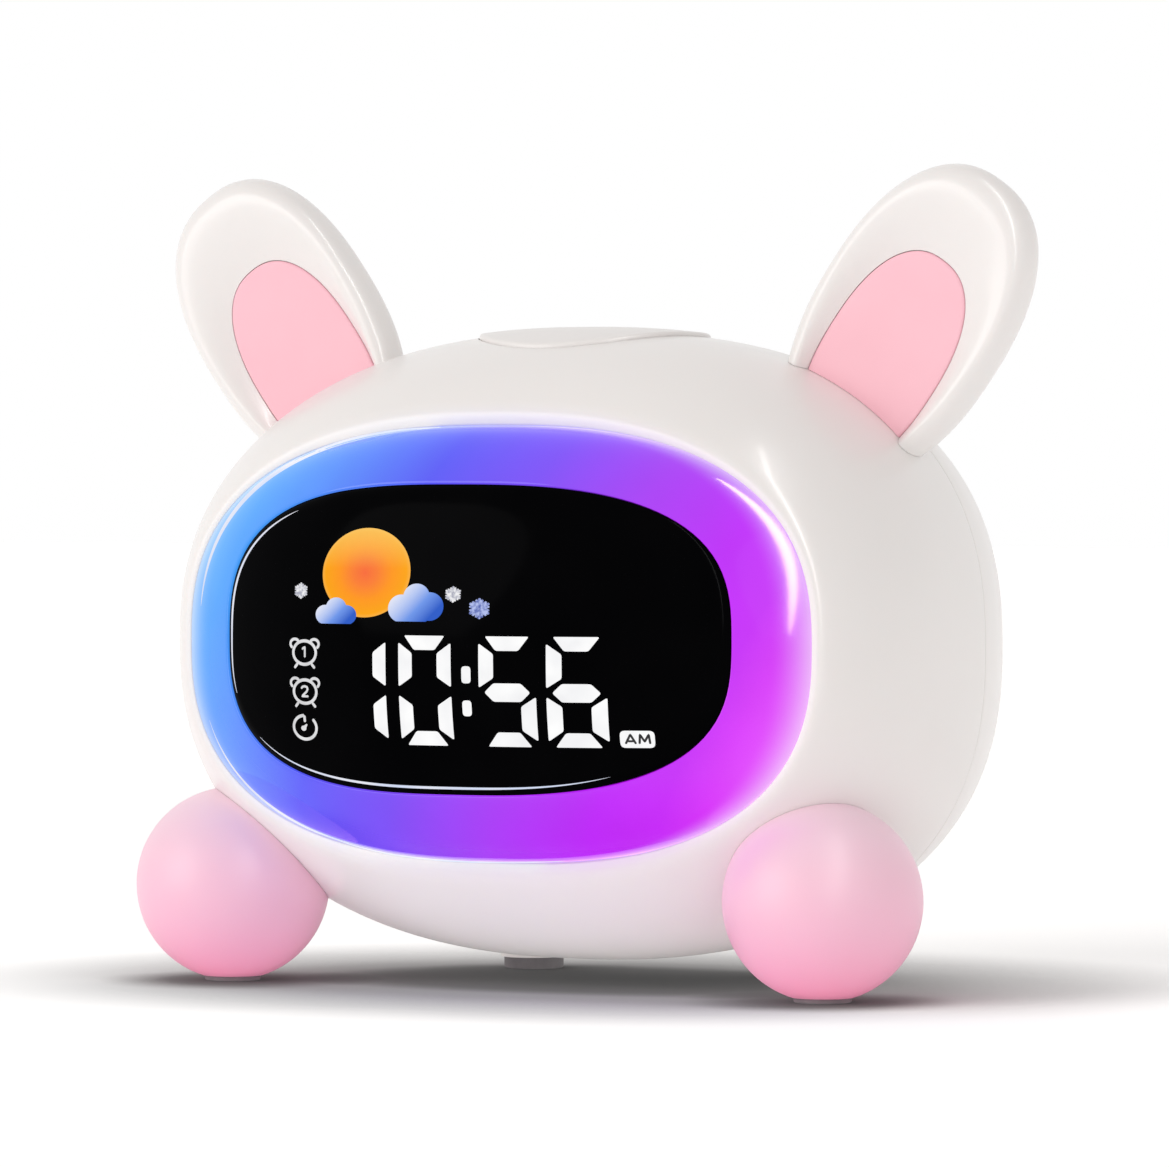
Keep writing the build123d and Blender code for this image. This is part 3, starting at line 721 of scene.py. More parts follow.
# %% Feet and pads
foot_radius = 15.9
ball_rows = 60
ball_columns = 128
foot_x = 54.06
foot_y = -22.64
foot_pad_radius = 4.6
foot_pad_wall = 0.8
rear_pad_radius = 5.0
pad_round = 0.35


def ball_profile():
    """Half circle from the top of the ball to the flat, then in to the axis."""
    flat = math.acos(foot_pad_wall / foot_radius - 1)
    turn = np.linspace(0, flat, ball_rows)
    ball = points(foot_radius * (1 + np.cos(turn)), foot_radius * np.sin(turn))
    return np.concatenate([ball, [(foot_pad_wall, 0)]])


def disc_profile(radius, wall):
    """Flat disc with a rounded lower edge, from the middle of its underside to its top."""
    corner = bend(
        np.array([0, radius - pad_round]), np.array([0, radius]), np.array([pad_round, radius]), 5,
    )
    return np.concatenate([[(0, 0)], corner, [(wall, radius), (wall, 0)]])


foot_meshes, pad_meshes = {}, {}
for hand, side in (("left", -1), ("right", 1)):
    foot_spot = (side * foot_x, foot_y, 0)
    ball = skin("ball", turned(ball_profile(), foot_spot, (0, 0, 1), ball_columns))
    foot_meshes[hand] = combine(ball, seat)
    for end, spot, radius, wall in (
        ("foot", foot_spot, foot_pad_radius, foot_pad_wall),
        ("rear", (side * stub_x, stub_y, 0), rear_pad_radius, pad_wall),
    ):
        pad = turned(disc_profile(radius, wall), spot, (0, 0, 1))
        pad_meshes[f"{hand}_{end}_pad"] = skin("pad", pad)
print("feet:", {hand: len(mesh.vertices) for hand, mesh in foot_meshes.items()}, "points")

# %% [markdown]
# ## Buttons
#
# The top button repeats the body's crown, 0.7 mm higher, so that it looks like a slice of the
# body pushed up. A plain disc would stand out of the curved crown like a coin.

# %% Top button
cap_proud = 0.7
cap_round = 0.6
cap_wall = 2.6
cap_flange = 1.3
cap_flange_wall = 1.2
stem_radius = 2.5
stem_bottom = crown_z - 6.5
stem_top = crown_z - 0.5
crown_rows = 24
hollow_rows = 12


def crown_height(x, y):
    """Height of the body's surface over a spot: its oval's formula solved for the upper half."""
    half_width, half_height, power, middle, _ = body_rows(y.ravel()).T.reshape(5, *y.shape)
    return middle + half_height * (1 - (np.abs(x) / half_width) ** power) ** (1 / power)


def cap_ring(radius, drop=0.0, level=None):
    """Ring of the button at a radius: on the raised crown less a drop, or at a fixed level."""
    x = radius * np.cos(turns)
    y = cap_y + radius * np.sin(turns)
    return points(x, y, crown_height(x, y) + cap_proud - drop if level is None else level)


def cap_grid():
    """Grid of the button: crown, rounded edge, wall, flange, and the hollow below the crown."""
    edge = cap_radius - cap_round
    skirt = crown_z - cap_skirt
    hollow = cap_radius - cap_wall
    return np.concatenate([
        [cap_ring(radius) for radius in np.linspace(0, edge, crown_rows)],
        bend(cap_ring(edge), cap_ring(cap_radius), cap_ring(cap_radius, cap_round), 8)[1:],
        [cap_ring(cap_radius, level=skirt), cap_ring(cap_radius + cap_flange, level=skirt)],
        [cap_ring(cap_radius + cap_flange, level=skirt - cap_flange_wall)],
        [cap_ring(hollow, level=skirt - cap_flange_wall)],
        [cap_ring(radius, cap_wall) for radius in np.linspace(hollow, 0, hollow_rows)],
    ])


cap_mesh = skin("top_button_skin", cap_grid())
stem = rod("stem", (0, 0, stem_bottom), (0, 0, 1), stem_radius, stem_top - stem_bottom)
cap_mesh = combine(cap_mesh, stem, "UNION")
print("top button:", len(cap_mesh.vertices), "points")

# %% [markdown]
# A key is a turned form: a stem that presses the switch, a flange that keeps the key in the
# case, and a barrel whose face is dished. One profile serves all five.

# %% Rear keys
key_proud = 1.6
key_back = back_depth - shell_wall - fit_gap
key_flange = 0.8
key_flange_wall = 1.0
key_stem = 1.6
key_stem_radius = 1.5
key_round = 0.8
key_dish = 0.18
key_face_rows = 10


def key_profile():
    """Stem, flange, barrel and rounded face of a key, whose middle is dished for a finger."""
    top = back_depth + key_proud
    inner = key_back - key_flange_wall
    wide = key_radius + key_flange
    face = np.linspace(1, 0, key_face_rows)
    dished = points(top - key_dish * (1 - face**2) ** 2, face * (key_radius - key_round))
    return np.concatenate([
        [(inner - key_stem, 0), (inner - key_stem, key_stem_radius), (inner, key_stem_radius)],
        [(inner, wide), (key_back, wide), (key_back, key_radius)],
        bend(np.array([top - key_round, key_radius]), np.array([top, key_radius]),
             np.array([top, key_radius - key_round]), 8),
        dished[1:],
    ])


key_meshes = {
    name: skin(name, turned(key_profile(), (x, 0, key_z), (0, 1, 0)))
    for name, x in key_x.items()
}
print("keys:", list(key_meshes))

# %% [markdown]
# ## What the window shows
#
# Digits, a weather picture and small icons are lit behind the smoked acrylic, and the eye takes
# them as lying on it. Each is a thin slab that follows the dome. Its outline is drawn flat, in
# millimetres from the middle of the opening, and every point is then moved to the dome's depth.
# A picture wrapped on the window would be quicker, but these edges stay sharp at any size.

# %% Slabs on the dome
print_lift = 0.05
print_wall = 0.1
upper_lift = 0.09
outline_step = 0.7
stroke_step = 0.12
taper_power = 0.7
corner_limit = 0.45


def lay(flat, lift):
    """Points on the dome, raised off it by a lift, for flat points given from the middle."""
    x, z = flat[..., 0], face_z + flat[..., 1]
    return points(x, dome_depth(x, z) - lift, z)


def polar(middle, turn, reach, stretch=1.0):
    """Line at a reach from its middle in each direction, stretched sideways."""
    return points(middle[0] + stretch * reach * np.cos(turn), middle[1] + reach * np.sin(turn))


def arc(middle, radius, start, end, around=72):
    """Line round a middle from one direction to another, in degrees."""
    return polar(middle, np.radians(np.linspace(start, end, around)), radius)


def softened(corners, radius):
    """Outline whose corners are cut back by a radius and rounded."""
    corners = np.asarray(corners, float)
    made = []
    neighbours = (np.roll(corners, step, axis=0) for step in (1, 0, -1))
    for before, corner, after in zip(*neighbours):
        start, end = (
            corner + (other - corner) * min(corner_limit, radius / np.linalg.norm(other - corner))
            for other in (before, after)
        )
        made.append(bend(start, corner, end, 4))
    return np.concatenate(made)


def traced(corners, step, closed=True):
    """Line with points put in at even steps along its straight sides."""
    corners = np.asarray(corners, float)
    ends = np.roll(corners, -1, axis=0) if closed else corners[1:]
    made = []
    for start, end in zip(corners, ends):
        count = max(1, math.ceil(np.linalg.norm(end - start) / step))
        made.append(mix(start, end, np.arange(count) / count))
    return np.concatenate(made + ([] if closed else [corners[-1:]]))


def slab(outline, lift=print_lift):
    """Closed slab on the dome inside an outline that can be seen whole from its middle."""
    middle = (outline.min(axis=0) + outline.max(axis=0)) / 2
    reach = np.max(np.linalg.norm(outline - middle, axis=-1))
    shares = np.linspace(0, 1, max(2, math.ceil(reach / outline_step)) + 1)
    flat = mix(middle + 0 * outline, outline, shares)
    return skin("slab", np.concatenate([lay(flat, lift), lay(flat, lift - print_wall)[::-1]]))


def stroke(line, width, closed=False, lift=print_lift, tapered=False):
    """Closed band of a width along a line on the dome. An open one ends in half circles, or its
    width follows a sine along it, so that it tapers to nothing at both ends."""
    if closed:
        ahead = np.roll(line, -1, axis=0) - np.roll(line, 1, axis=0)
        swell = np.ones(len(line))
    else:
        ahead = np.gradient(line, axis=0)
        run = np.concatenate([[0], np.cumsum(np.linalg.norm(np.diff(line, axis=0), axis=-1))])
        near_end = np.minimum(np.minimum(run, run[-1] - run) / (width / 2), 1)
        rounded = np.sqrt(1 - (1 - near_end) ** 2)
        swell = np.sin(np.pi * run / run[-1]) ** taper_power if tapered else rounded
    ahead = ahead / np.linalg.norm(ahead, axis=-1, keepdims=True)
    aside = np.stack([-ahead[:, 1], ahead[:, 0]], axis=-1) * (width / 2 * swell)[:, None]
    edges = np.stack([line - aside, line, line + aside], axis=1)
    band = np.concatenate([lay(edges, lift), lay(edges[:, ::-1], lift - print_wall)], axis=1)
    return skin("stroke", band, wrap_rows=closed)


# %% [markdown]
# The digits have seven segments, and each segment is a four- or six-sided bar with a little
# rounding. A digit is the list of the segments that are lit.

# %% Digits
digit_width = 9.6
digit_height = 17.4
digit_foot = -15.75
bar = 2.27
side_bar = 2.5
segment_round = 0.35
dot_round = 0.6
am_round = 0.8
am_line_width = 0.34
top_inset = 1.1
bar_inset = 2.9
cross_level = 0.492 * digit_height
cross_half = 1.45
cross_tip = 0.95
digit_x = {"1": -19.8, "0": -7.7, "5": 6.8, "6": 18.1}
colon_x = (3.8, 5.4)
colon_z = ((-5.8, -3.1), (-11.0, -8.5))
upper_side_levels = (0.534, 0.936, 0.84, 0.6225)
lower_side_levels = (0.054, 0.4545, 0.366, 0.148)
segments_lit = {"1": "BC", "0": "ABCDEF", "5": "AFGCD", "6": "AFGECD"}


def mirrored(corners, across=False, upright=False):
    """Corners of a segment mirrored across its digit, up and down, or both."""
    return [
        (digit_width - x if across else x, digit_height - z if upright else z) for x, z in corners
    ]


def side_segment(levels):
    """Corners of an upright bar at the digit's left, at shares of the digit's height."""
    return [(x, share * digit_height) for x, share in zip((0, 0, side_bar, side_bar), levels)]


def digit_segments():
    """Corners of the seven segments, from the digit's lower left."""
    top = [(top_inset, digit_height), (digit_width - top_inset, digit_height),
           (digit_width - bar_inset, digit_height - bar), (bar_inset, digit_height - bar)]
    upper_left = side_segment(upper_side_levels)
    lower_left = side_segment(lower_side_levels)
    left = [(cross_tip, cross_level), (side_bar, cross_level + cross_half)]
    far = digit_width - side_bar
    right = [(far, cross_level + cross_half), (digit_width - cross_tip, cross_level)]
    under = [(far, cross_level - cross_half), (side_bar, cross_level - cross_half)]
    return {
        "A": top, "D": mirrored(top, upright=True), "F": upper_left,
        "B": mirrored(upper_left, across=True), "E": lower_left,
        "C": mirrored(lower_left, across=True), "G": left + right + under,
    }


digit_slabs = []
for digit, segments in segments_lit.items():
    for segment in segments:
        corners = np.array(digit_segments()[segment]) + [digit_x[digit], digit_foot]
        digit_slabs.append(slab(traced(softened(corners, segment_round), outline_step)))
for low, high in colon_z:
    dot = [(colon_x[0], low), (colon_x[0], high), (colon_x[1], high), (colon_x[1], low)]
    digit_slabs.append(slab(traced(softened(dot, dot_round), outline_step)))
digits_mesh = gather("digits", digit_slabs)

am_box = [(29.3, -15.7), (29.3, -13.0), (34.5, -13.0), (34.5, -15.7)]
am_mesh = slab(traced(softened(am_box, am_round), outline_step))
am_lines = {
    "A": [(30.1, -15.1), (30.9, -13.6), (31.7, -15.1)],
    "A_bar": [(30.4, -14.65), (31.4, -14.65)],
    "M": [(32.2, -15.1), (32.35, -13.6), (33.0, -14.7), (33.65, -13.6), (33.8, -15.1)],
}
letters_mesh = gather("letters", [
    stroke(traced(line, stroke_step, closed=False), am_line_width, lift=upper_lift)
    for line in am_lines.values()
])
print("digits:", len(digits_mesh.vertices), "points")

# %% [markdown]
# The weather picture is a sun behind two clouds, with snow crystals. All of it is drawn wider
# than tall, because it is meant to be seen from the side of the bed. A cloud's edge is the
# farthest crossing with any of its puffs, seen from its middle, cut off flat at its foot.

# %% Sun, clouds and snow crystals
sun_middle = np.array([-14.5, 11.5])
sun_half = (8.7, 7.1)
cloud_puffs = {
    "small": ((-20.25, 5.3), 1.28, 1.98,
              [(-1.7, -0.55, 1.55), (0.1, 0.55, 1.65), (1.8, -0.55, 1.55), (0, -0.9, 1.6)]),
    "large": ((-4.6, 6.75), 1.13, 2.9,
              [(-2.3, -0.85, 2.2), (0.15, 0.95, 2.15), (2.3, -0.5, 2.25), (0, -1.0, 2.6)]),
}
snow_places = [(-27.8, 8.5, 1.25), (2.2, 8.2, 1.25), (6.9, 6.0, 1.6)]
snow_stretch = 1.2
snow_arm = [(-30, 0.66), (-24, 0.9), (-15, 0.94), (-10, 0.82), (-6, 1.0), (0, 1.04),
            (6, 1.0), (10, 0.82), (15, 0.94), (24, 0.9)]


def cloud_outline(middle, stretch, foot, puffs):
    """Outline of overlapping circles over a flat foot: the farthest circle along each ray."""
    heading = np.stack([np.cos(turns), np.sin(turns)])
    reach = np.zeros(columns)
    for x, z, radius in puffs:
        along = x * heading[0] + z * heading[1]
        inside = radius**2 - (x * x + z * z - along**2)
        far_side = along + np.sqrt(np.clip(inside, 0, None))
        reach = np.maximum(reach, np.where(inside > 0, far_side, 0))
    reach = np.minimum(reach, foot / np.clip(-heading[1], nearly_zero, None))
    return polar(middle, turns, reach, stretch)


sun_mesh = slab(polar(sun_middle, turns, sun_half[1], sun_half[0] / sun_half[1]))
cloud_meshes = {
    name: slab(cloud_outline(*shape), upper_lift) for name, shape in cloud_puffs.items()
}
snow_slabs = []
for x, z, size in snow_places:
    arms = [(60 * arm + turn + 30, size * reach) for arm in range(6) for turn, reach in snow_arm]
    turn, reach = np.array(arms).T
    crystal = polar((x, z), np.radians(turn), reach, snow_stretch)
    snow_slabs.append(slab(traced(crystal, outline_step / 2)))
print("weather picture:", len(sun_mesh.vertices), "points in the sun")

# %% [markdown]
# At the left edge two small alarm clocks and a timer are line drawings, so each is made of
# bands: full circles, arcs, and straight strokes with round ends.

# %% Small icons
icon_x = -26.9
icon_stretch = 1.32
icon_levels = {"alarm_1": -1.4, "alarm_2": -7.65}
alarm_radius = 1.88
bell_middle = (1.62, 1.4)
bell_radius = 0.74
alarm_foot = np.array([(1.1, -1.72), (1.72, -2.5)])
timer_middle = (-27.3, -13.4)
timer_radius = 1.9
timer_stem = [(0, 1.95), (0.05, 0.8)]
line_width = 0.5
thin_line_width = 0.46
numeral_line_width = 0.36
hub_offset = (-0.3, -0.15)
hub_radius = 0.42
hand_length = 0.5
hand_heading = 0.83
hand_spread = 0.3
numeral_lines = {
    "alarm_1": [(-0.44, 0.54), (0.06, 0.88), (0.06, -0.8)],
    "alarm_2": [(-0.65, 0.46), (-0.38, 0.78), (0, 0.86), (0.35, 0.72), (0.45, 0.4), (0.28, 0.02),
                (-0.5, -0.75), (0.58, -0.75)],
}


def icon_stroke(line, middle, width=line_width, closed=False):
    """Band of an icon, drawn round the icon's own middle and stretched sideways."""
    return stroke(np.asarray(middle) + np.asarray(line) * [icon_stretch, 1], width, closed)


icon_parts = []
for name, level in icon_levels.items():
    middle = (icon_x, level)
    icon_parts.append(icon_stroke(arc((0, 0), alarm_radius, 0, 355), middle, closed=True))
    for side in (-1, 1):
        bell = arc(bell_middle, bell_radius, -60, 150) * [side, 1]
        foot = traced(alarm_foot * [side, 1], stroke_step, closed=False)
        icon_parts += [icon_stroke(line, middle, thin_line_width) for line in (bell, foot)]
    numeral = traced(numeral_lines[name], stroke_step, closed=False)
    icon_parts.append(icon_stroke(numeral, middle, numeral_line_width))
for line in (
    arc((0, 0), timer_radius, 45, -270, 120), traced(timer_stem, stroke_step, closed=False),
):
    icon_parts.append(icon_stroke(line, timer_middle))

# The timer's hand is a round hub that grows to a tip: how far a direction is from the hand's own
# sets the reach, by a bell curve.
hub_turn = np.linspace(0, 2 * np.pi, 48, endpoint=False)
off_heading = np.angle(np.exp(1j * (hub_turn - hand_heading)))
hand_reach = hub_radius + hand_length * np.exp(-((off_heading / hand_spread) ** 2))
hub_middle = np.add(timer_middle, hub_offset)
icon_parts.append(slab(polar(hub_middle, hub_turn, hand_reach, icon_stretch)))
icons_mesh = gather("icons", icon_parts)
print("icons:", len(icons_mesh.vertices), "points")

# %% [markdown]
# Pale lines beside the ring's outer edge and beside the window's edge are painted highlights. They glow
# where lamps would be reflected in the rounded edges, and they taper to nothing at both ends.

# %% Painted highlights
# Painted highlights run along ovals: on the ring at a tenth of the dome's height, and on the window
# just inside its edge.
highlight_steps = 160
highlight_share = 0.1
window_highlight_inset = 1.1
ring_highlight_oval = (*dome_sizes(highlight_share), ring_power)
window_highlight_oval = (
    window_half_width - window_highlight_inset, window_half_height - window_highlight_inset, window_power,
)
# Painted highlights, each as its start and end direction in degrees and its width: two on the ring, and
# two inside the window's edge.
ring_painted_highlights = [(174, 104, 1.25), (194, 292, 0.9)]
window_beads = [(146, 192, 0.42), (203, 322, 0.42)]


def painted_highlight(start, end, width, oval, height=0.0):
    """Painted highlight along an oval between two directions in degrees, its middle at a height."""
    turn = np.radians(np.linspace(start, end, highlight_steps))
    return stroke(polar((0, height), turn, oval_reach(turn, *oval)), width, tapered=True)


ring_highlight_mesh = gather("ring_painted_highlights", [painted_highlight(*row, ring_highlight_oval) for row in ring_painted_highlights])
window_highlight_mesh = gather("window_beads", [
    painted_highlight(*row, window_highlight_oval, window_z - face_z) for row in window_beads
])
# Counts the painted highlights.
print("light beads:", len(ring_painted_highlights) + len(window_beads))

# %% [markdown]
# ## Signs on the rear panel
#
# Each key has a plain raised sign above it: a lamp, a bell, an arrow down, an arrow up, and a
# tick. They are moulded with the cover, a fifth of a millimetre high.

# %% Raised signs
sign_lift = 0.2
sign_sink = 0.2
sign_z = key_z + 7.2
lamp_radius = 0.75
lamp_rays = 8
ray_start = 1.15
ray_end = 1.75
ray_half_width = 0.16
clapper_radius = 0.3
clapper_drop = 1.25
arrow_size = 1.2
bell_outline = [
    (-1.3, -0.8), (1.3, -0.8), (0.95, -0.35), (0.85, 0.5), (0.5, 1.0), (0, 1.2), (-0.5, 1.0),
    (-0.85, 0.5), (-0.95, -0.35),
]
tick_outlines = [
    [(-1.4, 0.1), (-1.1, 0.4), (-0.45, -0.2), (-0.45, -0.85)],
    [(-0.45, -0.85), (-0.45, -0.2), (1.15, 1.2), (1.4, 0.9)],
]


def raised(outline, x):
    """Closed flat slab on the rear panel inside an outline given from the sign's middle."""
    flat = np.asarray(outline, float)
    middle = flat.mean(axis=0)
    rows = []
    for share, depth in ((0, -sign_sink), (1, -sign_sink), (1, sign_lift), (0, sign_lift)):
        spot = middle + (flat - middle) * share
        rows.append(points(x + spot[:, 0], back_depth + depth, sign_z + spot[:, 1]))
    return skin("sign", np.stack(rows))


def lamp_ray(turn):
    """Corners of a short bar that points away from the middle."""
    along = np.array([math.cos(turn), math.sin(turn)])
    aside = np.array([-along[1], along[0]]) * ray_half_width
    near, far = along * ray_start, along * ray_end
    return [near - aside, far - aside, far + aside, near + aside]


def sign_outlines(key):
    """Outlines that make up the sign of a key."""
    if key == "light_key":
        rays = [lamp_ray(2 * math.pi * step / lamp_rays) for step in range(lamp_rays)]
        return [polar((0, 0), hub_turn, lamp_radius)] + rays
    if key == "alarm_key":
        return [bell_outline, polar((0, -clapper_drop), hub_turn, clapper_radius)]
    if key == "set_key":
        return tick_outlines
    tip = arrow_size if key == "up_key" else -arrow_size
    return [[(-arrow_size, -tip * 0.6), (arrow_size, -tip * 0.6), (0, tip * 0.9)]]


sign_meshes = [
    raised(outline, x) for key, x in key_x.items() for outline in sign_outlines(key)
]
print("signs:", len(sign_meshes), "pieces of", len(key_x), "signs")

# %% [markdown]
# ## Materials
#
# Each finish is named for what the real piece is made of. Colours are sRGB hex codes, and one
# function turns them into the linear values that light is added up in. All patterns use the
# object's own coordinates, so they stay with a button when it moves.

# %% Helpers for finishes
cloud_roughness = 0.55
plain_detail = 1.0
soft_detail = 2.0
fine_detail = 3.0
gloss_drift = 0.06


def linear(code):
    """Linear colour from a hex code."""
    shares = [int(code[at:at + 2], 16) / 255 for at in (1, 3, 5)]
    light = [
        share / 12.92 if share <= 0.04045 else ((share + 0.055) / 1.055) ** 2.4
        for share in shares
    ]
    return (*light, 1)


def feed(owner, node, inputs):
    """Gives each input of a node its value, or links it to the socket that is given for it."""
    for name, value in dict(inputs).items():
        if isinstance(value, bpy.types.NodeSocket):
            owner.node_tree.links.new(value, node.inputs[name])
        else:
            node.inputs[name].default_value = value


def add_node(owner, kind, output, inputs=(), stops=(), **settings):
    """Adds a node with its settings, inputs and colour stops, and gives the output asked for."""
    node = owner.node_tree.nodes.new("ShaderNode" + kind)
    for name, value in settings.items():
        setattr(node, name, value)
    feed(owner, node, inputs)
    for _ in stops[2:]:
        node.color_ramp.elements.new(0.5)
    if stops:
        for element, (share, code) in zip(node.color_ramp.elements, stops):
            element.position = share
            element.color = linear(code)
    return node.outputs[output]


def cloudiness(size, detail):
    """Settings of cloudy noise whose spots are about a size in millimetres across."""
    return {"Scale": 1 / (size * MM), "Detail": detail, "Roughness": cloud_roughness}


def new_finish(name, *patterns):
    """Material, its surface shader, the object's own coordinates, and one cloudy noise for each
    pattern, which is given by its size and its detail."""
    material = bpy.data.materials.new(name)
    material.use_nodes = True
    shader = material.node_tree.nodes["Principled BSDF"]
    place = add_node(material, "TexCoord", "Object")
    noises = [
        add_node(material, "TexNoise", "Fac", {"Vector": place, **cloudiness(*pattern)})
        for pattern in patterns
    ]
    return material, shader, place, *noises


def moulded(name, light, dark, roughness, mottle, grain_size, grain_depth, **surface):
    """Moulded plastic: a faint mottle in its colour, and the mould's grain in gloss and height."""
    material, shader, _, patches, fine = new_finish(
        name, (mottle, soft_detail), (grain_size, fine_detail),
    )
    feed(material, shader, {
        "Base Color": add_node(
            material, "ValToRGB", "Color", {"Fac": patches}, [(0.1, dark), (0.9, light)],
        ),
        "Roughness": add_node(material, "MapRange", "Result", {
            "Value": patches,
            "To Min": roughness * (1 - gloss_drift), "To Max": roughness * (1 + gloss_drift),
        }),
        "Normal": add_node(material, "Bump", "Normal", {
            "Height": fine, "Strength": 1.0, "Distance": grain_depth * MM,
        }),
        **surface,
    })
    return material


finishes = {}
print("helpers ready; white is", linear("#ffffff"))

# %% [markdown]
# The mouldings could be one plain white and one plain pink. Real ones differ by their tool: a
# polished tool gives gloss, a spark-eroded one a matt face, and the resin is never quite even.
# So each has its own roughness, a wide mottle in its colour, and the mould's fine grain.

# %% White and pink mouldings
# White ABS: injection moulded in a polished tool and then clear-coated. The eye sees an even
# warm white with soft, wide highlights and hardly any texture.
finishes["white_shell"] = moulded(
    "white_abs_shell", "#f4f1ef", "#f0edeb", 0.3, 30.0, 1.1, 0.004,
    **{"IOR": 1.53, "Coat Weight": 0.25, "Coat Roughness": 0.12, "Subsurface Weight": 0.06,
       "Subsurface Radius": (1.0, 0.7, 0.6), "Subsurface Scale": 1.5 * MM},
)
# The buttons are the same ABS from a tool with a finer, drier polish: a little more matt.
finishes["white_cap"] = moulded(
    "white_abs_button", "#f2efed", "#ece9e7", 0.36, 24.0, 0.9, 0.005,
    **{"IOR": 1.53, "Coat Weight": 0.12, "Coat Roughness": 0.2},
)
# Pink ABS panel: moulded against a spark-eroded face, so it is matt and looks almost like paper.
finishes["pink_insert"] = moulded(
    "pink_abs_ear_panel", "#ffc7d3", "#fcc0cd", 0.55, 12.0, 0.35, 0.012, **{"IOR": 1.5},
)
# Silicone rubber pads: compression moulded, dull, with a dusty skin.
finishes["pad_rubber"] = moulded(
    "grey_silicone_pad", "#827f81", "#706d70", 0.75, 2.0, 0.25, 0.03, **{"IOR": 1.43},
)
# Matt white ABS of the inner frame: bare from the tool.
finishes["light_box_white"] = moulded(
    "bare_white_abs", "#eceae6", "#e2e0dc", 0.5, 8.0, 0.5, 0.01,
)
# Pinks from the foot's underside to its top. The paler top is partly painted light from above.
foot_painted_light_stops = [(0.04, "#fbaac8"), (0.35, "#fbbfd6"), (0.68, "#fdcee0"), (0.95, "#fddae9")]


def pink_foot_with_painted_light():
    """Pink ABS foot, polished, with a clear coat. Its pink is deepest underneath and grows paler
    towards the top. This is partly the foot's own colour and partly painted light falling from above."""
    material, shader, place, cloudy, fine = new_finish(
        "pink_foot_painted_light", (9.0, soft_detail), (1.0, fine_detail),
    )
    # Height up the foot picks the pink, so light from above is painted in as a paler top.
    height = add_node(material, "MapRange", "Result", {
        "Value": add_node(material, "SeparateXYZ", "Z", {"Vector": place}),
        "From Max": 2 * foot_radius * MM,
    })
    drift = add_node(material, "MapRange", "Result", {
        "Value": cloudy, "To Min": -0.015, "To Max": 0.015,
    })
    level = add_node(material, "Math", "Value", {0: height, 1: drift}, operation="ADD")
    feed(material, shader, {
        "Base Color": add_node(material, "ValToRGB", "Color", {"Fac": level}, foot_painted_light_stops),
        "Roughness": add_node(material, "MapRange", "Result", {
            "Value": cloudy, "To Min": 0.4, "To Max": 0.44,
        }),
        "Normal": add_node(material, "Bump", "Normal", {
            "Height": fine, "Strength": 1.0, "Distance": 0.004 * MM,
        }),
        "IOR": 1.53, "Coat Weight": 0.2, "Coat Roughness": 0.35, "Subsurface Weight": 0.1,
        "Subsurface Radius": (1.0, 0.5, 0.55), "Subsurface Scale": 2 * MM,
    })
    return material


finishes["pink_foot"] = pink_foot_with_painted_light()
print("mouldings:", list(finishes))

# %% [markdown]
# The ring's light runs from sky blue at the left through violet to magenta at the right. A
# picture of the colours could be wrapped on the ring, but a formula stays smooth: the bands of
# colour lean, so the value that picks the colour is x less half of the height. The outer edge is
# paler, because the ring is thinner there and lets more light out. The window is nearly black.

# %% Lit ring and window
ring_lean = 0.51
ring_span = 62.0
edge_glow_depth = 3.6
edge_paleness = 0.4
ring_glow = 0.9
ring_darkness = 0.93
ring_stops = [
    (-62, "#60b2f8"), (-52, "#44a0fa"), (-40, "#4e90fb"), (-18, "#5656f9"), (1, "#7c4af9"),
    (20, "#aa36f8"), (37, "#c01cfb"), (47, "#c820fa"), (53, "#d830fb"), (62, "#e850fc"),
]


def lit_diffuser():
    """Milky polycarbonate, moulded and polished, over a chain of coloured diodes: it glows
    evenly, with a faint beat where the diodes sit, and keeps a clear gloss on top."""
    material, shader, place, cloudy, fine = new_finish(
        "milky_polycarbonate_ring", (14.0, soft_detail), (3.0, plain_detail),
    )
    across, depth, height = (
        add_node(material, "SeparateXYZ", axis, {"Vector": place}) for axis in "XYZ"
    )
    rise = add_node(material, "Math", "Value", {0: height, 1: face_z * MM}, operation="SUBTRACT")
    leaned = add_node(
        material, "Math", "Value", {0: rise, 1: -ring_lean, 2: across}, operation="MULTIPLY_ADD",
    )
    share = add_node(material, "MapRange", "Result", {
        "Value": leaned, "From Min": -ring_span * MM, "From Max": ring_span * MM,
    })
    glow = add_node(material, "ValToRGB", "Color", {"Fac": share}, [
        ((spot / ring_span + 1) / 2, code) for spot, code in ring_stops
    ])
    near_edge = add_node(material, "MapRange", "Result", {
        "Value": depth, "From Max": -face_depth * MM,
        "From Min": -(face_depth + edge_glow_depth) * MM,
    })
    edge = add_node(material, "Math", "Value", {0: near_edge, 1: near_edge}, operation="MULTIPLY")
    paleness = add_node(material, "MapRange", "Result", {"Value": edge, "To Max": edge_paleness})
    pale = add_node(
        material, "Mix", 2, {0: paleness, 6: glow, 7: linear("#ffffff")}, data_type="RGBA",
    )
    feed(material, shader, {
        "Base Color": add_node(
            material, "Mix", 2, {0: ring_darkness, 6: pale, 7: linear("#000000")},
            data_type="RGBA",
        ),
        "Emission Color": pale,
        "Emission Strength": add_node(material, "MapRange", "Result", {
            "Value": cloudy, "From Min": 0.3, "From Max": 0.7,
            "To Min": ring_glow * 0.97, "To Max": ring_glow * 1.03,
        }),
        "Roughness": add_node(material, "MapRange", "Result", {
            "Value": cloudy, "To Min": 0.06, "To Max": 0.1,
        }),
        "Normal": add_node(material, "Bump", "Normal", {
            "Height": fine, "Strength": 1.0, "Distance": 0.002 * MM,
        }),
        "IOR": 1.58, "Specular IOR Level": 0.3,
    })
    return material


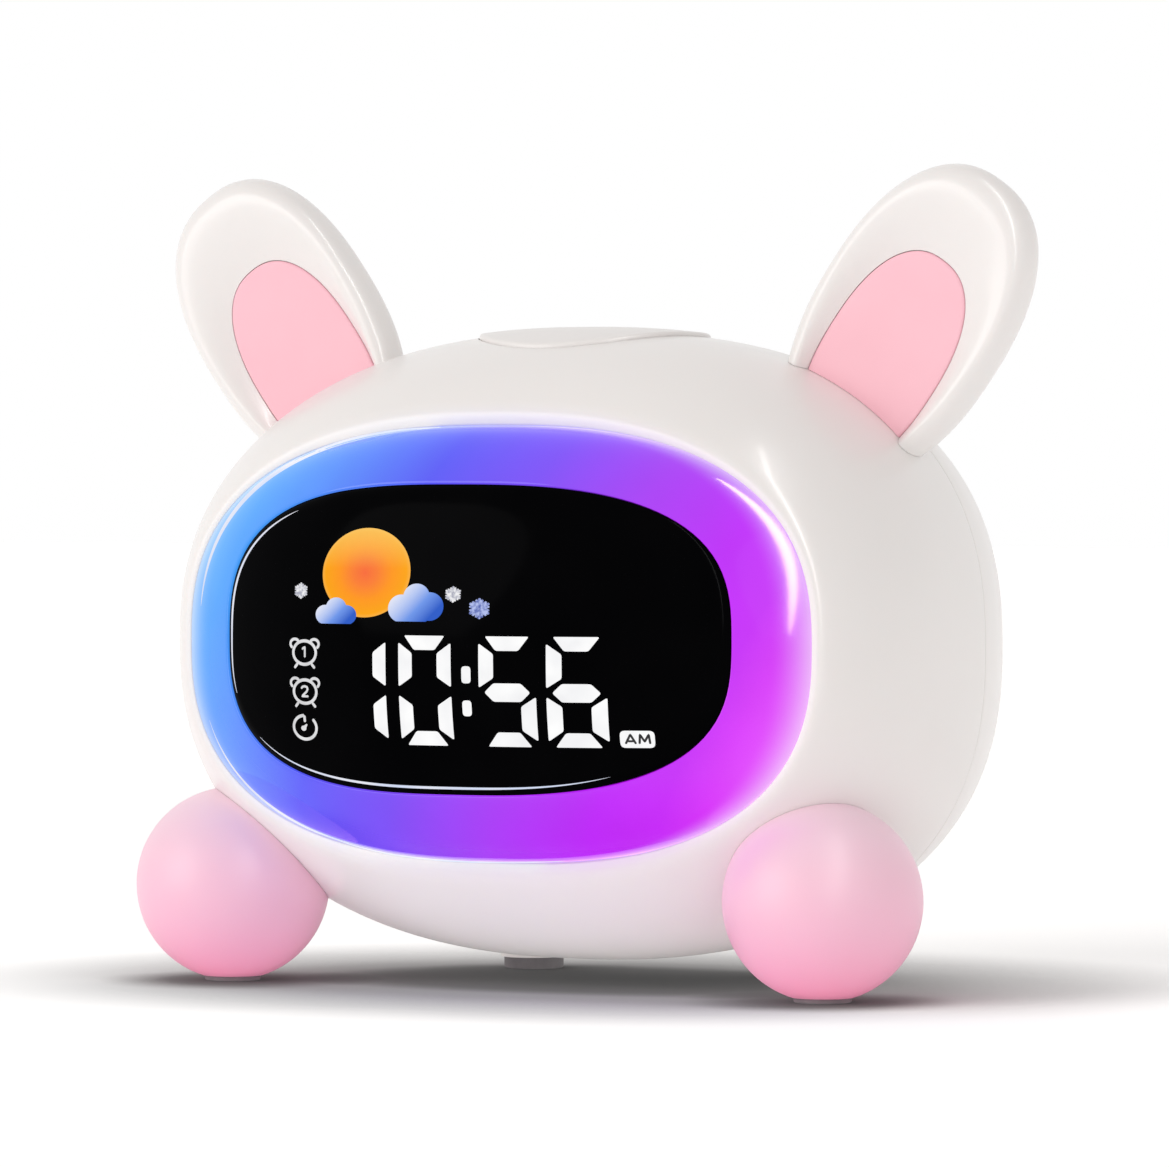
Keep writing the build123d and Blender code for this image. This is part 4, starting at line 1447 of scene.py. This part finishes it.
def smoked_acrylic():
    """Smoked acrylic window: moulded, polished and coated against glare. It is nearly black and
    very smooth, with only a breath of haze."""
    material, shader, _, haze, fine = new_finish(
        "smoked_acrylic_window", (18.0, soft_detail), (6.0, plain_detail),
    )
    feed(material, shader, {
        "Base Color": add_node(
            material, "ValToRGB", "Color", {"Fac": haze}, [(0.3, "#020203"), (0.7, "#040405")],
        ),
        "Roughness": add_node(material, "MapRange", "Result", {
            "Value": haze, "To Min": 0.07, "To Max": 0.12,
        }),
        "Normal": add_node(material, "Bump", "Normal", {
            "Height": fine, "Strength": 1.0, "Distance": 0.003 * MM,
        }),
        "IOR": 1.49, "Specular IOR Level": 0.008,
    })
    return material


finishes["milky_diffuser"] = lit_diffuser()
finishes["black_window"] = smoked_acrylic()
print("ring colours:", len(ring_stops))

# %% [markdown]
# Nearly everything that the window shows is light, so these finishes glow at the strength at
# which their colour renders as it is written. Dark lines between the lit parts are the window.

# %% Lit pictures
def lit(name, colour_of, strength=1.0, fleck=0.02):
    """Lit print: white diodes behind a coloured film, with the film's slight unevenness."""
    material, shader, place, cloudy = new_finish(name, (1.2, soft_detail))
    feed(material, shader, {
        "Base Color": linear("#000000"), "Specular IOR Level": 0.05,
        "Emission Color": colour_of(material, place),
        "Emission Strength": add_node(material, "MapRange", "Result", {
            "Value": cloudy, "From Min": 0.3, "From Max": 0.7,
            "To Min": strength - fleck, "To Max": strength,
        }),
        "Roughness": add_node(material, "MapRange", "Result", {
            "Value": cloudy, "To Min": 0.3, "To Max": 0.4,
        }),
    })
    return material


def flecked(size, detail, low, high):
    """Colour of light through a film: cloudy between two stops, its spots of a size."""
    def colour(material, place):
        cloudy = add_node(material, "TexNoise", "Fac", {
            "Vector": place, **cloudiness(size, detail),
        })
        return add_node(material, "ValToRGB", "Color", {"Fac": cloudy}, [low, high])
    return colour


def from_middle(material, place, middle, half):
    """Way from a flat middle, where 1 is the edge of an oval round it."""
    return add_node(material, "Mapping", "Vector", {
        "Vector": place, "Location": (-middle[0] / half[0], 0, -(face_z + middle[1]) / half[1]),
        "Scale": (1 / (half[0] * MM), 0, 1 / (half[1] * MM)),
    })


sun_stops = [
    (0.0, "#f86c3a"), (0.28, "#fb7f33"), (0.6, "#ff981a"), (0.92, "#fca50b"), (1.0, "#fbb040"),
]
cloud_stops = [(0.05, "#e6e9f6"), (0.35, "#b7c8f3"), (0.62, "#6f97ea"), (0.95, "#2c5cc8")]
cloud_shade_way = (0.85, 0, -0.55)
cloud_shade_reach = 0.95
blue_crystal_start = 4.0
blue_crystal_end = 4.5
# Glow of the painted highlights beside the ring's and the window's edges.
painted_highlight_strength = 0.9


def sun_light(material, place):
    """Deep orange in the middle, amber at the rim, and pale yellow towards the top."""
    offset = from_middle(material, place, sun_middle, sun_half)
    distance = add_node(material, "VectorMath", "Value", {0: offset}, operation="LENGTH")
    body = add_node(material, "ValToRGB", "Color", {"Fac": distance}, sun_stops)
    top = add_node(material, "MapRange", "Result", {
        "Value": add_node(material, "SeparateXYZ", "Z", {"Vector": offset}),
        "From Min": 0.1, "From Max": 1.15, "To Max": 0.65,
    })
    return add_node(material, "Mix", 2, {0: top, 6: body, 7: linear("#fbd472")}, data_type="RGBA")


def cloud_light(middle, half):
    """Film printed from nearly white at the upper left to deep blue at the lower right."""
    def colour(material, place):
        offset = from_middle(material, place, middle, half)
        slope = add_node(
            material, "VectorMath", "Value", {0: offset, 1: cloud_shade_way},
            operation="DOT_PRODUCT",
        )
        share = add_node(material, "MapRange", "Result", {
            "Value": slope, "From Min": -cloud_shade_reach, "From Max": cloud_shade_reach,
        })
        return add_node(material, "ValToRGB", "Color", {"Fac": share}, cloud_stops)
    return colour


def snow_light(material, place):
    """Cool white with the grey breaks between a crystal's arms; blue film over the last one."""
    white, blue = (
        flecked(0.6, fine_detail, (0.35, low), (0.6, high))(material, place)
        for low, high in (("#a6a8b8", "#f0f0f2"), ("#5c6cb4", "#b4c0ee"))
    )
    beyond = add_node(material, "MapRange", "Result", {
        "Value": add_node(material, "SeparateXYZ", "X", {"Vector": place}),
        "From Min": blue_crystal_start * MM, "From Max": blue_crystal_end * MM,
    })
    return add_node(material, "Mix", 2, {0: beyond, 6: white, 7: blue}, data_type="RGBA")


# White diodes fall off a little towards a segment's ends, and the small icons are dimmer.
digit_light = lit("white_diode_digits", flecked(
    5.0, plain_detail, (0.3, "#f2f2f4"), (0.7, "#ffffff"),
))
icon_finish = lit("white_diode_icons", flecked(
    2.0, plain_detail, (0.3, "#d2d2d4"), (0.7, "#e6e6e8"),
))
# The painted highlights glow a pale blue-white. They stand in for the lamps' reflection in the ring's
# and the window's edges.
painted_highlight_finish = lit("painted_highlight_glow", flecked(
    8.0, plain_detail, (0.3, "#dce6ff"), (0.7, "#f6f6ff"),
), painted_highlight_strength)
sun_finish = lit("orange_film_sun", sun_light)
snow_finish = lit("cool_film_snow", snow_light)
cloud_finishes = {
    "small": lit("blue_film_small_cloud", cloud_light((-20.25, 5.4), (4.3, 2.3))),
    "large": lit("blue_film_large_cloud", cloud_light((-4.6, 6.85), (5.1, 3.1))),
}
# Unlit letters of the AM lamp: black ink screen-printed on its diffuser.
ink_finish = moulded("black_ink_letters", "#0c0c10", "#060608", 0.4, 1.0, 0.2, 0.002)
print("lit finishes:", [made.name for made in (digit_light, icon_finish, painted_highlight_finish, sun_finish)])

# %% [markdown]
# The inside shows only through the grille, the socket and the screw wells, but each part has
# its own finish there too, because a part of this clock may be looked at on its own.

# %% Finishes of the inner parts
scratch_size = 0.25
weave_size = 0.8


def brushed(name, colour, roughness, stretch):
    """Metal with fine lines along one direction, from rolling or turning."""
    material, shader, place = new_finish(name)
    lines = add_node(material, "Mapping", "Vector", {"Vector": place, "Scale": stretch})
    scratch = add_node(material, "TexNoise", "Fac", {
        "Vector": lines, **cloudiness(scratch_size, fine_detail),
    })
    feed(material, shader, {
        "Base Color": linear(colour), "Metallic": 1.0,
        "Roughness": add_node(material, "MapRange", "Result", {
            "Value": scratch, "To Min": roughness * 0.8, "To Max": roughness * 1.3,
        }),
        "Normal": add_node(material, "Bump", "Normal", {
            "Height": scratch, "Strength": 1.0, "Distance": 0.004 * MM,
        }),
    })
    return material


def solder_mask():
    """Glass-fibre board under green solder mask: the weave shows as a faint square print."""
    material, shader, place, fine = new_finish("green_solder_mask", (weave_size, fine_detail))
    feed(material, shader, {
        "Base Color": add_node(material, "TexChecker", "Color", {
            "Vector": place, "Scale": 1 / (weave_size * MM),
            "Color1": linear("#1c6a41"), "Color2": linear("#1a633d"),
        }),
        "Roughness": 0.35,
        "Normal": add_node(material, "Bump", "Normal", {
            "Height": fine, "Strength": 1.0, "Distance": 0.01 * MM,
        }),
    })
    return material


finishes["board_green"] = solder_mask()
# White diode packages: moulded epoxy, slightly yellow.
finishes["led_white"] = moulded("diode_package", "#f2efdf", "#e8e4d0", 0.3, 1.0, 0.3, 0.005)
# Black display case, chips and switches: filled epoxy or nylon, dull from the tool.
finishes["display_black"] = moulded("display_case", "#232325", "#1a1a1c", 0.5, 4.0, 0.3, 0.01)
finishes["chip_black"] = moulded("filled_epoxy_chip", "#2b2b2d", "#202022", 0.6, 1.5, 0.15, 0.01)
finishes["switch_black"] = moulded("nylon_switch", "#303032", "#242426", 0.5, 1.5, 0.2, 0.008)
# Foam tape: open dark foam, with cells that catch a little light.
finishes["foam_tape"] = moulded("dark_foam_tape", "#525252", "#333334", 0.9, 0.6, 0.3, 0.15)
# Battery pack: blue shrink sleeve, taut and glossy, with small wrinkles.
finishes["battery_wrap"] = moulded("blue_shrink_sleeve", "#4f86c9", "#3f74b8", 0.25, 10.0, 2.5, 0.05)
# Speaker: pressed paper cone in a black steel basket.
finishes["speaker_black"] = moulded("pressed_paper_cone", "#2e2c2b", "#1f1e1e", 0.85, 1.0, 0.4, 0.05)
finishes["socket_steel"] = brushed("drawn_steel_socket", "#b9b9bc", 0.3, (1, 0.1, 1))
finishes["screw_steel"] = brushed("zinc_plated_screw", "#c9c9cd", 0.28, (1, 1, 0.15))
print("finishes:", len(finishes))

# %% [markdown]
# ## Putting the pieces on the frame
#
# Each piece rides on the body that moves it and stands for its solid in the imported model. The
# parts that have no piece of their own are solids already, and only get their finish.

# %% Pieces
slot_of = {row["node"]: row["material_slot"] for row in frame["record"]["subparts"]}
dressed = {}


def dress(node, mesh, name=None, body="case"):
    """Piece that stands for a solid, in the finish of the solid's slot."""
    slot = slot_of[node]
    dressed[node] = piece(name or f"{node}_skin", mesh, finishes[slot], body, [node])


dress("front_shell", front_mesh)
dress("rear_cover", gather("rear_cover_skin", [rear_mesh] + sign_meshes))
dress("light_ring", ring_mesh)
dress("display_window", window_mesh)
for hand in ("left", "right"):
    ear_mesh, panel_mesh = ear_meshes[hand]
    dress(f"{hand}_ear", ear_mesh)
    dress(f"{hand}_ear_insert", panel_mesh, f"{hand}_ear_panel")
    dress(f"{hand}_foot", foot_meshes[hand], f"{hand}_ball_foot")
for node, mesh in pad_meshes.items():
    dress(node, mesh)
dress("top_button", cap_mesh, body="top_button")
for node, mesh in key_meshes.items():
    dress(node, mesh, body=node)

for name, mesh, finish in (
    ("digits", digits_mesh, digit_light),
    ("am_lamp", am_mesh, digit_light),
    ("am_letters", letters_mesh, ink_finish),
    ("icons", icons_mesh, icon_finish),
    ("sun", sun_mesh, sun_finish),
    ("snow_crystals", gather("snow_crystals", snow_slabs), snow_finish),
    ("small_cloud", cloud_meshes["small"], cloud_finishes["small"]),
    # painted highlights just inside the window's edge
    ("window_beads", window_highlight_mesh, painted_highlight_finish),
    ("large_cloud", cloud_meshes["large"], cloud_finishes["large"]),
):
    piece(name, mesh, finish)
# Painted highlights beside the ring's outer edge.
piece("ring_painted_highlights", ring_highlight_mesh, painted_highlight_finish)

for name, node in frame["nodes"].items():
    if name not in dressed:
        if not node.material_slots:
            node.data.materials.append(None)
        for holder in node.material_slots:
            holder.material = finishes[slot_of[name]]
print("solids that show as they are:", len(frame["nodes"]) - len(dressed))

# %% [markdown]
# ## Camera and light
#
# The clock stands on a white table. The camera stands 28 degrees to the right of straight ahead
# and about one degree above level, and looks through a long lens, so that the body keeps its
# shape. A wide lens close by would swell the near foot.

# %% Camera
view_turn = math.radians(28)
view_rise = math.radians(0.91)
view_distance = 1.18
view_lens = 221.7
view_shift_up = 0.01006
view_shift_right = -0.00046
sensor_width = 36


def set_up(name, data, place, turn):
    """Camera or lamp of the studio at a place, turned by a quaternion."""
    made = bpy.data.objects.new(name, data)
    made.location = place
    made.rotation_mode = "QUATERNION"
    made.rotation_quaternion = turn
    bpy.context.scene.collection.objects.link(made)
    return made


to_camera = Vector((
    math.sin(view_turn) * math.cos(view_rise), -math.cos(view_turn) * math.cos(view_rise),
    math.sin(view_rise),
))
rightwards = Vector((math.cos(view_turn), math.sin(view_turn), 0))
upwards = rightwards.cross(-to_camera)
camera_place = (
    Vector((0, 0, middle_z * MM)) + upwards * view_shift_up
    + rightwards * view_shift_right + to_camera * view_distance
)
camera_data = bpy.data.cameras.new("camera")
camera_data.sensor_width = sensor_width
camera_data.lens = view_lens
bpy.context.scene.camera = set_up(
    "camera", camera_data, camera_place, (-to_camera).to_track_quat("-Z", "Y"),
)
bpy.context.scene.view_settings.view_transform = "Standard"
print("camera at", [round(value, 3) for value in camera_place])

# %% [markdown]
# The eye sees a pure white studio, while the clock is lit by a softer one. A Light Path node
# tells the two apart: rays from the camera and reflections get the white shader, and all other
# light the soft one. The table is darkened where the clock keeps light from it, which ambient
# occlusion measures over a wide reach for the soft shadow and over a short one at the feet.

# %% World and table
world_light = 0.6
table_bounce = 0.25
table_lift = 0.42
table_reach = 6
paper_white = (0.95, 0.95, 0.95, 1)
paper_lean = (-0.5, -0.53, 0.68)
shade_reach = 0.055
contact_reach = 0.014
shade_samples = 16
shade_stops = [
    (0.0, "#808080"), (0.45, "#989898"), (0.75, "#d0d0d0"), (0.92, "#f2f2f2"), (0.98, "#ffffff"),
]
contact_stops = [(0.1, "#acacac"), (0.5, "#c0c0c0"), (0.9, "#ffffff")]


def seen_white(owner, shader, white_shader):
    """Shader for the object's light, and another for what the eye and reflections see."""
    seen = add_node(owner, "LightPath", "Is Camera Ray")
    for kind in ("Is Glossy Ray", "Is Transmission Ray"):
        ray = add_node(owner, "LightPath", kind)
        seen = add_node(owner, "Math", "Value", {0: seen, 1: ray}, operation="MAXIMUM")
    return add_node(owner, "MixShader", "Shader", {0: seen, 1: shader, 2: white_shader})


def studio_world():
    """World that is warm white and soft for the clock, and pure white for the eye."""
    world = bpy.data.worlds.new("studio")
    world.use_nodes = True
    nodes = world.node_tree.nodes
    feed(world, nodes["Background"], {"Color": linear("#fffbf9"), "Strength": world_light})
    white = add_node(world, "Background", "Background", {"Color": linear("#ffffff")})
    feed(world, nodes["World Output"], {
        "Surface": seen_white(world, nodes["Background"].outputs[0], white),
    })
    return world


def table_paper():
    """White paper: it throws light back at the clock, and shows the clock's soft shadow."""
    material = bpy.data.materials.new("white_paper_table")
    material.use_nodes = True
    nodes = material.node_tree.nodes
    nodes.remove(nodes["Principled BSDF"])
    soft_shade, contact = (
        add_node(material, "ValToRGB", "Color", {
            "Fac": add_node(
                material, "AmbientOcclusion", "AO", {"Distance": reach}, samples=shade_samples,
            ),
        }, stops)
        for reach, stops in ((shade_reach, shade_stops), (contact_reach, contact_stops))
    )
    darkened = add_node(
        material, "VectorMath", "Vector", {0: soft_shade, 1: contact}, operation="MULTIPLY",
    )
    leaning = add_node(material, "CombineXYZ", "Vector", dict(zip("XYZ", paper_lean)))
    shown = add_node(material, "AddShader", "Shader", {
        0: add_node(material, "BsdfDiffuse", "BSDF", {"Color": darkened, "Normal": leaning}),
        1: add_node(material, "Emission", "Emission", {
            "Color": darkened, "Strength": table_lift,
        }),
    })
    bouncing = add_node(material, "AddShader", "Shader", {
        0: add_node(material, "BsdfDiffuse", "BSDF", {"Color": paper_white}),
        1: add_node(material, "Emission", "Emission", {"Strength": table_bounce}),
    })
    feed(material, nodes["Material Output"], {"Surface": seen_white(material, bouncing, shown)})
    return material


bpy.context.scene.world = studio_world()
corner_signs = ((-1, -1), (1, -1), (1, 1), (-1, 1))
table_mesh = bpy.data.meshes.new("table")
table_mesh.from_pydata(
    [(x * table_reach, y * table_reach, 0) for x, y in corner_signs], [], [(0, 1, 2, 3)],
)
table_mesh.materials.append(table_paper())
table = bpy.data.objects.new("table", table_mesh)
bpy.context.scene.collection.objects.link(table)
print("table:", 2 * table_reach, "m wide")

# %% [markdown]
# Three suns light the clock: a weak one from above, the main one from the front left, and a fill
# from the right. The bold highlight at the ring's upper right is the reflection of one narrow
# lamp, so that lamp stands where a mirror at that spot would show it, and it is kept out of the
# plain white surfaces' light.

# %% Lamps
heart = Vector((0, 0, 0.06))


def strip_lamp(name, low_end, high_end, width, power):
    """Narrow lamp between two ends, turned to the clock, that shows in reflections only. The ends
    are given from the clock's heart, and three axes at right angles make the lamp's turn."""
    low_end, high_end = Vector(low_end) + heart, Vector(high_end) + heart
    middle = (low_end + high_end) / 2
    along = (high_end - low_end).normalized()
    aside = along.cross(middle - heart).normalized()
    lamp = bpy.data.lights.new(name, "AREA")
    lamp.shape = "ELLIPSE"
    lamp.size = width
    lamp.size_y = (high_end - low_end).length
    lamp.energy = power
    axes = Matrix((aside, along, aside.cross(along))).transposed()
    set_up(name, lamp, middle, axes.to_quaternion()).visible_diffuse = False


def sun_lamp(name, towards_light, spread_degrees, strength, colour="#ffffff"):
    """Even light from one side of the studio; a wide spread gives a soft shadow."""
    lamp = bpy.data.lights.new(name, "SUN")
    lamp.angle = math.radians(spread_degrees)
    lamp.energy = strength
    lamp.color = linear(colour)[:3]
    set_up(name, lamp, (0, 0, 0), (-Vector(towards_light)).to_track_quat("-Z", "Y"))


sun_lamp("ceiling", (0, 0, 1), 120, 0.12)
sun_lamp("key", (-0.55, -0.78, 0.28), 40, 0.92, "#fffdfb")
sun_lamp("fill", (0.85, -0.45, 0.2), 60, 0.22)
strip_lamp("right_arch", (0.72, -0.83, 0), (0.23, 0.05, 1.08), 0.035, 3.4)
print("lamps:", [light.name for light in bpy.data.lights])
